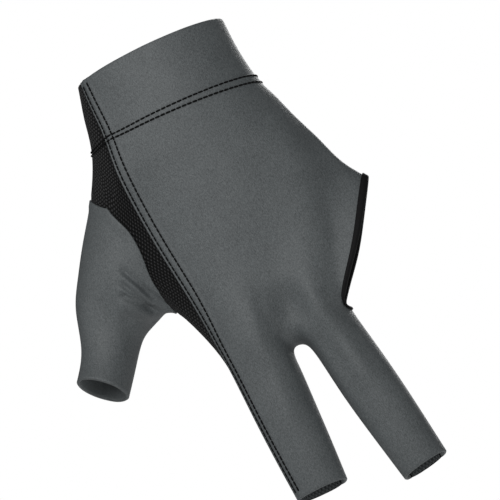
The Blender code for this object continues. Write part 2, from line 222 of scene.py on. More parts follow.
@dataclass
class Topology:
    """What joins the points of a quad mesh: its edges, which quads use them and how often."""

    quads: Array
    edges: Array = field(init=False)
    of_quad: Array = field(init=False)
    uses: Array = field(init=False)

    def __post_init__(self) -> None:
        """Finds the edges, each once, and the edge of each quad side."""
        ends = np.stack([self.quads, np.roll(self.quads, -1, axis=1)], axis=2).reshape(-1, 2)
        self.edges, which, self.uses = np.unique(
            np.sort(ends, axis=1), axis=0, return_inverse=True, return_counts=True
        )
        self.of_quad = which.reshape(-1, 4)

    def rim(self) -> Array:
        """Edges that one quad alone uses, in the direction in which it runs round them."""
        ends = np.stack([self.quads, np.roll(self.quads, -1, axis=1)], axis=2).reshape(-1, 2)
        return ends[self.uses[self.of_quad.ravel()] == 1]

    def gathered(self, count: int, edges: Array, values: Array) -> Array:
        """Sum, at each point, of a value of each edge that ends there.

        Args:
            count: how many points there are.
            edges: pairs of point numbers.
            values: a value for each edge.

        Returns:
            One sum for each point.
        """
        total = np.zeros((count, values.shape[1]))
        np.add.at(total, edges[:, 0], values)
        np.add.at(total, edges[:, 1], values)
        return total


def limit_places(points: Array, quads: Array) -> Array:
    """Where endless subdivision takes each cage point.

    Inside: n squared times the point, plus 4 times its neighbours, plus the far corners of its quads, over
    n (n + 5), for n neighbours. On the rim: 4 times the point plus its two rim neighbours, over 6.

    Args:
        points: cage points.
        quads: cage quads.

    Returns:
        One place for each point.
    """
    net, count = Topology(quads), len(points)
    rim = net.edges[net.uses == 1]
    number = np.bincount(net.edges.ravel(), minlength=count)[:, None]
    beside = net.gathered(count, net.edges, points[net.edges].sum(axis=1)) - number * points
    across = np.zeros_like(points)
    np.add.at(across, quads.ravel(), points[np.roll(quads, 2, axis=1).ravel()])
    inside = (number**2 * points + 4 * beside + across) / np.maximum(number * (number + 5), 1)
    rim_number = np.bincount(rim.ravel(), minlength=count)[:, None]
    rim_beside = net.gathered(count, rim, points[rim].sum(axis=1)) - rim_number * points
    return np.where(rim_number > 0, (4 * points + rim_beside) / 6, inside)


def subdivided(points: Array, quads: Array, corners: Array) -> tuple[Array, Array, Array]:
    """One round of Catmull-Clark subdivision, with corner values split halfway.

    A quad's new point is the mean of its corners, an edge's the mean of its ends and the new points of its
    quads, and an old point moves to (Q + 2R + (n - 3) P) / n, with Q and R the means of the quads' points
    and the edges' middles around it. A rim edge gives its middle, and a rim point moves to half itself plus
    a quarter of each rim middle.

    Args:
        points: (n, 3) points.
        quads: (m, 4) point numbers.
        corners: (m, 4, k) values at each quad's corners.

    Returns:
        The finer points, quads and corner values, four quads for each.
    """
    net, count = Topology(quads), len(points)
    centres = points[quads].mean(axis=1)
    middles = points[net.edges].mean(axis=1)
    beside = np.zeros_like(middles)
    np.add.at(beside, net.of_quad.ravel(), np.repeat(centres, 4, axis=0))
    inner = (net.uses == 2)[:, None]
    edge_points = np.where(inner, middles / 2 + beside / 4, middles)

    number = np.bincount(quads.ravel(), minlength=count)[:, None]
    of_quads = np.zeros_like(points)
    np.add.at(of_quads, quads.ravel(), np.repeat(centres, 4, axis=0))
    spokes = np.maximum(np.bincount(net.edges.ravel(), minlength=count)[:, None], 1)
    of_edges = net.gathered(count, net.edges, middles) / spokes
    moved = (of_quads / np.maximum(number, 1) + 2 * of_edges + (spokes - 3) * points) / spokes
    rim = net.uses == 1
    rim_sum = net.gathered(count, net.edges[rim], middles[rim])
    on_rim = np.bincount(net.edges[rim].ravel(), minlength=count)[:, None] > 0
    moved = np.where(on_rim, points / 2 + rim_sum / 4, moved)

    edge_number = count + net.of_quad
    centre_number = np.arange(len(quads)) + count + len(net.edges)
    before = np.roll(edge_number, 1, axis=1)
    centre = np.repeat(centre_number[:, None], 4, axis=1)
    finer = np.stack([quads, edge_number, centre, before], axis=2).reshape(-1, 4)
    halves = (corners + np.roll(corners, -1, axis=1)) / 2
    mean = np.repeat(corners.mean(axis=1, keepdims=True), 4, axis=1)
    values = np.stack([corners, halves, mean, np.roll(halves, 1, axis=1)], axis=2)
    return np.concatenate([moved, edge_points, centres]), finer, values.reshape(-1, 4, corners.shape[2])


def point_normals(points: Array, quads: Array) -> Array:
    """Outward direction at each point: the sum of its quads' crossed diagonals, scaled to length one.

    Args:
        points: (n, 3) points.
        quads: (m, 4) point numbers.

    Returns:
        (n, 3) directions of length one.
    """
    cross = np.cross(points[quads[:, 2]] - points[quads[:, 0]], points[quads[:, 3]] - points[quads[:, 1]])
    total = np.zeros_like(points)
    np.add.at(total, quads.ravel(), np.repeat(cross, 4, axis=0))
    return unit(total)


@dataclass
class WornForm:
    """The smooth outside of the whole glove as it is worn, from its named sizes and its sections."""

    cuff_breadth: float = 0.0586
    cuff_depth: float = 0.0405
    cuff_height: float = 0.0249
    palm_breadth: float = 0.0800
    palm_depth: float = 0.0350
    palm_length: float = 0.0890
    index_size: tuple[float, ...] = (0.0595, 0.0228, 0.0220, -4.4)
    middle_size: tuple[float, ...] = (0.0702, 0.0206, 0.0202, 4.7)
    thumb_size: tuple[float, ...] = (0.0515, 0.0200, 0.0192, 42.0)
    squareness: float = 2.3
    fit_rounds: int = 4
    levels: int = 4
    wrist_rows: tuple[float, float] = (1.75, 2.3125)
    seam_columns: tuple[float, float] = (0.0, 0.6875)
    hem_row: float = 2.125
    columns: dict[str, Column] = field(
        default_factory=lambda: {
            "seam": Column("back", 1.00, -0.800, -0.34, 0.880),
            "index_outer": Column("back", 0.87, -0.705, -0.62, 0.900),
            "index_top": Column("back", 0.74, -0.510, -0.82, 0.945),
            "index_inner": Column("back", 0.61, -0.290, -0.67, 0.990),
            "middle_inner": Column("back", 0.51, -0.090, -0.65, 1.005),
            "middle_top": Column("back", 0.40, 0.155, -0.79, 1.005),
            "middle_outer": Column("back", 0.30, 0.405, -0.52, 1.020),
            "ring_back": Column("back", 0.20, 0.690, -0.56, 0.880),
            "little_back": Column("back", 0.10, 0.955, -0.42, 0.737),
            "edge": Column("palm", 0.00, 1.155, 0.00, 0.613),
            "little_palm": Column("palm", 0.13, 0.955, 0.46, 0.720),
            "ring_palm": Column("palm", 0.26, 0.690, 0.62, 0.865),
            "middle_outer_palm": Column("palm", 0.39, 0.405, 0.48, 1.005),
            "middle_palm": Column("palm", 0.51, 0.155, 0.68, 0.990),
            "middle_inner_palm": Column("palm", 0.62, -0.090, 0.52, 0.990),
            "index_inner_palm": Column("palm", 0.73, -0.290, 0.52, 0.980),
            "index_palm": Column("palm", 0.86, -0.510, 0.66, 0.935),
            "thumb_palm": Column("palm", 1.00, -0.720, 0.50, 0.890),
            "thumb_side": Column("thumb", 0.67, -0.840, 0.26, 0.865),
            "thumb_back": Column("thumb", 0.33, -0.860, -0.05, 0.865),
        }
    )
    cuff_sections: dict[str, Section] = field(
        default_factory=lambda: {
            "mouth": Section(0.00, 0.000, 1.000, 0.500, 0.500, -0.930, 214, tilt=0.082),
            "band": Section(0.50, -0.038, 1.056, 0.500, 0.495, -0.850, 214, tilt=0.100),
            "wrist": Section(1.00, -0.058, 1.130, 0.500, 0.485, -0.790, 214, tilt=0.120),
        }
    )
    palm_sections: dict[str, Section] = field(
        default_factory=lambda: {
            "heel": Section(0.16, -0.082, 0.965, 0.545, 0.540, -0.660, 218),
            "thumb_root": Section(0.36, -0.054, 0.968, 0.500, 0.520, -0.742, 228),
            "mid_palm": Section(0.58, -0.040, 0.988, 0.460, 0.470, -0.757, 226, knuckle=0.15),
            "thumb_fork": Section(0.80, -0.035, 0.955, 0.430, 0.420, -0.764, 212, knuckle=0.50),
            "knuckles": Section(1.00, 0.0, 1.0, 0.5, 0.5, -0.8, 212, knuckle=1.00),
        }
    )
    thumb_seam: dict[tuple[str, str], Spot] = field(
        default_factory=lambda: {
            ("heel", "thumb_side"): Spot(-1.150, 0.17, 0.112, 0),
            ("heel", "thumb_back"): Spot(-1.050, -0.46, 0.211, 36),
            ("thumb_root", "thumb_back"): Spot(-0.980, -0.51, 0.335, 70),
            ("mid_palm", "thumb_back"): Spot(-0.995, -0.43, 0.467, 102),
            ("thumb_fork", "thumb_back"): Spot(-1.025, -0.26, 0.599, 133),
            ("thumb_fork", "thumb_side"): Spot(-0.975, 0.11, 0.710, 180),
            ("thumb_fork", "thumb_palm"): Spot(-0.940, 0.54, 0.620, 227),
            ("mid_palm", "thumb_palm"): Spot(-0.825, 0.94, 0.487, 258),
            ("thumb_root", "thumb_palm"): Spot(-0.800, 1.03, 0.330, 290),
            ("heel", "thumb_palm"): Spot(-0.900, 0.80, 0.194, 324),
        }
    )
    thumb_hole: tuple[tuple[str, str], ...] = tuple(
        (row, column) for row in ("heel", "thumb_root", "mid_palm") for column in ("thumb_palm", "thumb_side")
    )
    thumb_root: Spot = Spot(-1.040, 0.286, 0.402)
    thumb_rings: tuple[Ring, ...] = (
        Ring(0.20, 2.00, 1.55, fore=0.08, aside=-0.055, lean=-33),
        Ring(0.39, 1.62, 1.35, fore=0.13, aside=-0.082, lean=-25),
        Ring(0.56, 1.37, 1.18, fore=0.13, aside=-0.076, lean=-17, face=3),
        Ring(0.78, 1.07, 1.06, fore=0.03, aside=-0.024, lean=-10, face=8),
        Ring(1.00, 1.00, 1.01, fore=-0.18, aside=-0.005, lean=-3, face=14),
    )
    forks: dict[str, Spot] = field(
        default_factory=lambda: {
            "index_fork": Spot(-0.215, -0.03, 1.090),
            "middle_fork": Spot(-0.115, -0.03, 1.090),
            "ring_fork": Spot(0.430, 0.00, 1.054),
        }
    )
    index_root: Spot = Spot(-0.510, -0.07, 0.980)
    middle_root: Spot = Spot(0.155, -0.05, 0.980)
    index_rings: tuple[Ring, ...] = (
        Ring(0.20, 1.000, 1.00, fore=0.00, tilt=0.35),
        Ring(0.45, 0.985, 0.97, fore=0.01, tilt=0.10),
        Ring(0.72, 0.940, 0.91, fore=0.05),
        Ring(1.00, 0.860, 0.84, fore=0.12),
    )
    middle_rings: tuple[Ring, ...] = (
        Ring(0.20, 0.965, 1.00, fore=0.00, tilt=-0.05),
        Ring(0.45, 1.000, 0.98, fore=0.02),
        Ring(0.72, 0.965, 0.93, fore=0.07),
        Ring(1.00, 0.890, 0.86, fore=0.16),
    )
    index_turns: dict[str, float] = field(
        default_factory=lambda: {
            "seam": 164,
            "index_outer": 130,
            "index_top": 88,
            "index_inner": 44,
            "index_fork": 0,
            "index_inner_palm": -44,
            "index_palm": -84,
            "thumb_palm": -116,
            "thumb_side": -145,
            "thumb_back": -172,
        }
    )
    middle_turns: dict[str, float] = field(
        default_factory=lambda: {
            "middle_inner": 135,
            "middle_top": 90,
            "middle_outer": 45,
            "ring_fork": 0,
            "middle_outer_palm": -45,
            "middle_palm": -90,
            "middle_inner_palm": -135,
            "middle_fork": 180,
        }
    )

    def __post_init__(self) -> None:
        """Builds the cage, fits it to its sections and subdivides it."""
        self.names = list(self.columns)
        self.rows = [*self.cuff_sections, *self.palm_sections]
        self.blocks: list[Array] = []
        self.quads_made: list[Array] = []
        self.corners_made: list[Array] = []
        self.sewn_made: list[Array] = []
        self.add_hand()
        self.add_finger(self.index_root, self.index_rings, self.index_turns, self.index_size, "seam", 5)
        self.add_finger(
            self.middle_root, self.middle_rings, self.middle_turns, self.middle_size, "middle_top", 4
        )
        self.add_web()
        self.add_thumb()
        self.subdivide()

    def number(self, row: str, column: str) -> int:
        """Number of a point of the hand's grid, or of a fork."""
        if column in self.forks:
            return len(self.rows) * len(self.names) + list(self.forks).index(column)
        return self.rows.index(row) * len(self.names) + self.names.index(column)

    def spot(self, place: Spot) -> Array:
        """The point that a spot's shares stand for."""
        x, y = place.x * self.palm_breadth / 2, place.y * self.palm_depth / 2
        return np.array([x, y, -self.cuff_height - place.drop * self.palm_length])

    def oval(self, section: Section, breadth: float, depth: float) -> Array:
        """x and y of every column on an oval section.

        The angle runs from the little finger's side: a share of the seam's angle over the back, of the rest
        up to the thumb's column over the palm, and the part between them beside the thumb. The back and the
        palm sides have their own half depths.

        Args:
            section: the section, in shares.
            breadth: breadth that its shares are of.
            depth: depth that its shares are of.

        Returns:
            One row of x and y for each column.
        """
        side = np.array([column.side for column in self.columns.values()])
        arc = np.array([column.arc for column in self.columns.values()])
        seam = math.degrees(math.acos(section.seam))
        palm = 360 - (360 - section.thumb) * arc
        beside = seam + (section.thumb - seam) * arc
        angle = np.radians(np.where(side == "back", seam * arc, np.where(side == "palm", palm, beside)))
        half = np.where(np.sin(angle) > 0, section.back, section.palm)
        x = section.centre * breadth + section.breadth * breadth / 2 * np.cos(angle)
        return np.stack([x, -half * depth * np.sin(angle)], axis=1)

    def cuff_ring(self, section: Section) -> Array:
        """Points of a tilted oval section of the cuff."""
        flat = self.oval(section, self.cuff_breadth, self.cuff_depth)
        return np.column_stack([flat, -section.along * self.cuff_height - section.tilt * flat[:, 0]])

    def palm_ring(self, section: Section) -> Array:
        """Points of a palm section: the oval and the places at the knuckles, mixed by the section's
        knuckle.

        Args:
            section: the section, in shares.

        Returns:
            A point for each column.
        """
        ends = np.array([self.spot(Spot(c.x, c.y, c.end)) for c in self.columns.values()])
        start = self.cuff_ring(self.cuff_sections["wrist"])[:, 2]
        flat = self.oval(section, self.palm_breadth, self.palm_depth)
        flat = (1 - section.knuckle) * flat + section.knuckle * ends[:, :2]
        return np.column_stack([flat, start + section.along * (ends[:, 2] - start)])

    def add_block(self, points: Array) -> Array:
        """Adds points and returns their numbers.

        Args:
            points: the points to add.

        Returns:
            Their numbers.
        """
        first = sum(len(block) for block in self.blocks)
        self.blocks.append(points)
        return np.arange(first, first + len(points))

    def add_quads(self, quads: Array, corners: Array, sewn: Array) -> None:
        """Adds quads with the values at their corners and the sewn piece of each.

        Args:
            quads: (n, 4) point numbers.
            corners: (n, 4, 4) values at their corners.
            sewn: number of the piece of each.
        """
        self.quads_made.append(quads)
        self.corners_made.append(corners)
        self.sewn_made.append(sewn)

    def band(
        self, upper: Array, lower: Array, rise: tuple[float, float], turns: Array, sewn: Array, first: int = 0
    ) -> None:
        """Quads between two closed rings. Their corner values are the length round, the drop, the row and
        the column.

        Args:
            upper: point numbers of the ring nearer the wrist.
            lower: point numbers of the other ring.
            rise: row values of the two rings.
            turns: for each quad, what is added to its length round: turns of its own ring, a start, and the
                column that the start stands for.
            sewn: sewn piece of each quad.
            first: number of the first column.
        """
        points = np.concatenate(self.blocks)
        quads = np.stack([upper, lower, np.roll(lower, -1), np.roll(upper, -1)], axis=1)
        values = []
        for ring, row in zip((upper, lower), rise):
            round_it = arc_lengths(points[np.append(ring, ring[0])])
            base = round_it[turns[:, 2].astype(int)]
            start = turns[:, 0] * round_it[-1] + turns[:, 1] - base
            drop = -points[ring, 2]
            rows, column = np.full(len(ring), row), np.arange(len(ring)) + first
            ends = np.stack([round_it[:-1] + start, drop, rows, column], axis=1)
            nexts = np.stack([round_it[1:] + start, np.roll(drop, -1), rows, column + 1], axis=1)
            values.append((ends, nexts))
        corners = np.stack([values[0][0], values[1][0], values[1][1], values[0][1]], axis=1)
        self.add_quads(quads, corners, sewn)

    def add_hand(self) -> None:
        """Rings of the cuff and the palm, without the thumb's hole, and the points of the forks."""
        rings = [self.cuff_ring(section) for section in self.cuff_sections.values()]
        rings += [self.palm_ring(section) for section in self.palm_sections.values()]
        grid = np.concatenate(rings)
        for (row, column), place in self.thumb_seam.items():
            grid[self.number(row, column)] = self.spot(place)
        forks = np.array([self.spot(place) for place in self.forks.values()])
        numbers = self.add_block(np.concatenate([grid, forks]))[: len(grid)].reshape(len(self.rows), -1)
        count = len(self.names)
        is_back = np.arange(count) < self.names.index("little_palm")
        cut = np.zeros((len(self.rows), count), bool)
        for row, column in self.thumb_hole:
            cut[self.rows.index(row), self.names.index(column)] = True
        turns = np.column_stack([np.where(is_back, 0.0, -1.0), np.zeros((count, 2))])
        kinds = list(Sewn)
        for i in range(len(self.rows) - 1):
            pair = (Sewn.CUFF_BACK, Sewn.CUFF_PALM) if i < 2 else (Sewn.BACK, Sewn.PALM)
            sewn = np.where(is_back, kinds.index(pair[0]), kinds.index(pair[1]))
            self.band(numbers[i], numbers[i + 1], (i, i + 1), turns, sewn)
            keep = ~cut[i]
            for made in (self.quads_made, self.corners_made, self.sewn_made):
                made[-1] = made[-1][keep]
        knuckles = np.concatenate(self.blocks)[numbers[-1]]
        self.knuckle_round = arc_lengths(np.vstack([knuckles, knuckles[:1]]))

    def add_finger(
        self,
        root: Spot,
        rings: tuple[Ring, ...],
        turns: dict[str, float],
        size: tuple[float, ...],
        zero: str,
        palm_from: int,
    ) -> None:
        """Rings of one finger sleeve. A ring is a squared oval: the powers of cosine and sine of its turns.

        Args:
            root: middle of the sleeve's root.
            rings: its rings, in shares.
            turns: turn of each column.
            size: length, breadth, depth and spread in degrees.
            zero: column whose length round the knuckles the ring's own length is counted from.
            palm_from: first column that the palm's mesh follows.
        """
        length, breadth, depth, spread = size
        lean = math.radians(spread)
        ahead = np.array([math.sin(lean), 0, -math.cos(lean)])
        aside = np.array([math.cos(lean), 0, math.sin(lean)])
        turn = np.radians(np.array(list(turns.values())))
        power = 2 / self.squareness
        across = np.sign(np.cos(turn)) * np.abs(np.cos(turn)) ** power / 2
        deep = -np.sign(np.sin(turn)) * np.abs(np.sin(turn)) ** power / 2
        upper = np.array([self.number("knuckles", name) for name in turns])
        count = len(turns)
        columns = np.arange(count)
        first = 0 if zero == "seam" else 40
        if zero == "seam":
            palm = columns >= palm_from
            start = np.column_stack([np.where(palm, -1.0, 0.0), np.zeros((count, 2))])
        else:
            palm = (columns >= palm_from) & (columns < palm_from + 2)
            seat = np.full(count, self.knuckle_round[self.names.index(zero)])
            seat[palm] = self.knuckle_round[self.names.index("middle_palm")] - self.knuckle_round[-1]
            counted = np.where(palm, list(turns).index("middle_palm"), list(turns).index(zero))
            start = np.column_stack([np.where(columns > palm_from + 1, -1.0, 0.0), seat, counted])
        sewn = np.where(palm, list(Sewn).index(Sewn.PALM), list(Sewn).index(Sewn.BACK))
        row = float(len(self.rows) - 1)
        for ring in rings:
            centre = self.spot(root) + ahead * ring.along * length + np.array([0, ring.fore * depth, 0])
            wide = across[:, None] * ring.breadth * breadth
            points = centre + wide * aside + deep[:, None] * ring.depth * depth * np.array([0, 1, 0])
            points[:, 2] -= ring.tilt * wide[:, 0]
            lower = self.add_block(points)
            self.band(upper, lower, (row, row + 1), start, sewn, first)
            upper, row = lower, row + 1

    def add_web(self) -> None:
        """The two quads between the fingers."""
        rows = (("index_inner", "index_fork", "middle_fork", "middle_inner"),)
        rows += (("index_fork", "index_inner_palm", "middle_inner_palm", "middle_fork"),)
        quads = np.array([[self.number("knuckles", name) for name in names] for names in rows])
        points = np.concatenate(self.blocks)
        row = np.full(quads.shape, float(len(self.rows) - 1))
        corners = np.stack([points[quads, 0], -points[quads, 2], row, row + 80], axis=2)
        self.add_quads(quads, corners, np.full(2, list(Sewn).index(Sewn.BACK)))

    def add_thumb(self) -> None:
        """Rings of the thumb sleeve, ovals about its axis, each turned by its lean and its face."""
        length, breadth, depth, spread = self.thumb_size
        lean = math.radians(spread)
        ahead = np.array([-math.sin(lean), 0, -math.cos(lean)])
        aside = np.array([math.cos(lean), 0, -math.sin(lean)])
        palmward = np.array([0, 1, 0])
        turn = np.radians(np.array([place.turn for place in self.thumb_seam.values()]))
        upper = np.array([self.number(*key) for key in self.thumb_seam])
        sewn = np.full(len(turn), list(Sewn).index(Sewn.THUMB))
        start = np.zeros((len(turn), 3))
        row = 20.0
        for ring in self.thumb_rings:
            tip, face = math.radians(ring.lean), math.radians(ring.face)
            across = aside * math.cos(tip) - ahead * math.sin(tip)
            deep = palmward * math.cos(face) + ahead * math.sin(face)
            centre = self.spot(self.thumb_root) + ahead * ring.along * length
            centre = centre + aside * ring.aside * length + palmward * ring.fore * depth
            points = centre - np.outer(np.cos(turn), across) * ring.breadth * breadth / 2
            points = points - np.outer(np.sin(turn), deep) * ring.depth * depth / 2
            lower = self.add_block(points)
            self.band(upper, lower, (row, row + 1), start, sewn, 60)
            upper, row = lower, row + 1

    def subdivide(self) -> None:
        """Fits the cage so that the smooth form passes its sections, then subdivides it."""
        quads = np.concatenate(self.quads_made)
        used, local = np.unique(quads, return_inverse=True)
        target = np.concatenate(self.blocks)[used]
        quads = local.reshape(-1, 4)
        points = target.copy()
        for _ in range(self.fit_rounds):
            points = points + target - limit_places(points, quads)
        corners = np.concatenate(self.corners_made)
        sewn = np.concatenate(self.sewn_made)
        for _ in range(self.levels):
            points, quads, corners = subdivided(points, quads, corners)
            sewn = np.repeat(sewn, 4)
        self.points, self.quads, self.corners, self.sewn = points, quads, corners, sewn
        for _ in range(2):
            self.split(2, self.wrist_rows)
            self.split(3, self.seam_columns)
        self.hem_cuff()
        self.normals = point_normals(self.points, self.quads)

    def split(self, axis: int, span: tuple[float, float]) -> None:
        """Halves the quads of a band that runs right through the form, so that fine relief has points to
        stand on.

        Args:
            axis: the corner value that is halved: 2 the row, 3 the column.
            span: its least and greatest value in the band.
        """
        mean = self.corners[:, :, axis].mean(axis=1)
        chosen = (mean > span[0]) & (mean < span[1])
        quads, corners = self.quads[chosen], self.corners[chosen]
        level = np.isclose(corners[:, 0, axis], corners[:, 1, axis])
        quads = np.where(level[:, None], np.roll(quads, -1, axis=1), quads)
        corners = np.where(level[:, None, None], np.roll(corners, -1, axis=1), corners)
        sides = np.concatenate([quads[:, [0, 1]], quads[:, [3, 2]]])
        edges, which = np.unique(np.sort(sides, axis=1), axis=0, return_inverse=True)
        near, far = (len(self.points) + which.reshape(2, -1))
        halves = (corners[:, [0, 3]] + corners[:, [1, 2]]) / 2
        first = np.stack([quads[:, 0], near, far, quads[:, 3]], axis=1)
        second = np.stack([near, quads[:, 1], quads[:, 2], far], axis=1)
        first_corners = np.stack([corners[:, 0], halves[:, 0], halves[:, 1], corners[:, 3]], axis=1)
        second_corners = np.stack([halves[:, 0], corners[:, 1], corners[:, 2], halves[:, 1]], axis=1)
        self.points = np.concatenate([self.points, self.points[edges].mean(axis=1)])
        self.quads = np.concatenate([self.quads[~chosen], first, second])
        self.corners = np.concatenate([self.corners[~chosen], first_corners, second_corners])
        self.sewn = np.concatenate([self.sewn[~chosen], self.sewn[chosen], self.sewn[chosen]])

    def hem_cuff(self) -> None:
        """Gives the cuff the rows just below the wrist, where its lower edge is sewn down."""
        row, kinds = self.corners[:, :, 2].mean(axis=1), list(Sewn)
        below = (row > 2) & (row < self.hem_row)
        for panel, cuff in ((Sewn.BACK, Sewn.CUFF_BACK), (Sewn.PALM, Sewn.CUFF_PALM)):
            self.sewn[below & (self.sewn == kinds.index(panel))] = kinds.index(cuff)

    def of(self, *kinds: Sewn) -> Array:
        """Which quads belong to the given pieces."""
        return np.isin(self.sewn, [list(Sewn).index(kind) for kind in kinds])

    def line_where(self, quads: Array, axis: int, value: float, order: int) -> Array:
        """Point numbers where a corner value of the chosen quads is a given one, in the order of another.

        Args:
            quads: which quads to look at.
            axis: the corner value that has to match: 0 the length round, 1 the drop, 2 the row, 3 the column.
            value: what it has to be.
            order: the corner value that the points are sorted by.

        Returns:
            Point numbers, each once.
        """
        corners = self.corners[quads].reshape(-1, self.corners.shape[2])
        numbers = self.quads[quads].ravel()
        hit = np.abs(corners[:, axis] - value) < 1e-9
        _, first = np.unique(numbers[hit], return_index=True)
        chosen, key = numbers[hit][first], corners[hit][first][:, order]
        return chosen[np.argsort(key, kind="stable")]


@dataclass(frozen=True)
class Crease:
    """A long ridge, or a furrow where its height is below 0, drawn in millimetres in the plane of the
    picture.
    """

    path: tuple[tuple[float, float], ...]
    height: float
    breadth: float
    fade: float = 4.0


@dataclass
class Seams:
    """Where the form's pieces meet, and how far each of its points lies from there."""

    form: WornForm
    radial: Array = field(init=False)
    radial_gap: Array = field(init=False)
    thumb_gap: Array = field(init=False)
    side_gap: Array = field(init=False)
    wrist_gap: Array = field(init=False)

    def __post_init__(self) -> None:
        """Finds the radial seam, the thumb's, the palm's side seams and the cuff's lower edge."""
        form = self.form
        grey = form.of(Sewn.BACK, Sewn.CUFF_BACK)
        black = form.of(Sewn.PALM, Sewn.CUFF_PALM)
        self.radial = form.line_where(grey, 0, 0.0, 1)
        self.radial_gap = nearest_on_line(form.points, form.points[self.radial])[0]
        thumb = form.line_where(form.of(Sewn.THUMB), 2, 20.0, 0)
        self.thumb_gap = nearest_on_line(form.points, form.points[np.append(thumb, thumb[0])])[0]
        shared = np.intersect1d(form.quads[grey], form.quads[black])
        sides = np.setdiff1d(shared, self.radial)
        self.side_gap = nearest_point(form.points, form.points[sides])[1]
        hem = form.line_where(grey | black, 2, form.hem_row, 0)
        self.wrist_gap = nearest_on_line(form.points, form.points[np.append(hem, hem[0])])[0]

    def nearest(self) -> Array:
        """Distance from each point to the nearest seam of any kind."""
        return np.minimum.reduce([self.radial_gap, self.thumb_gap, self.side_gap, self.wrist_gap])


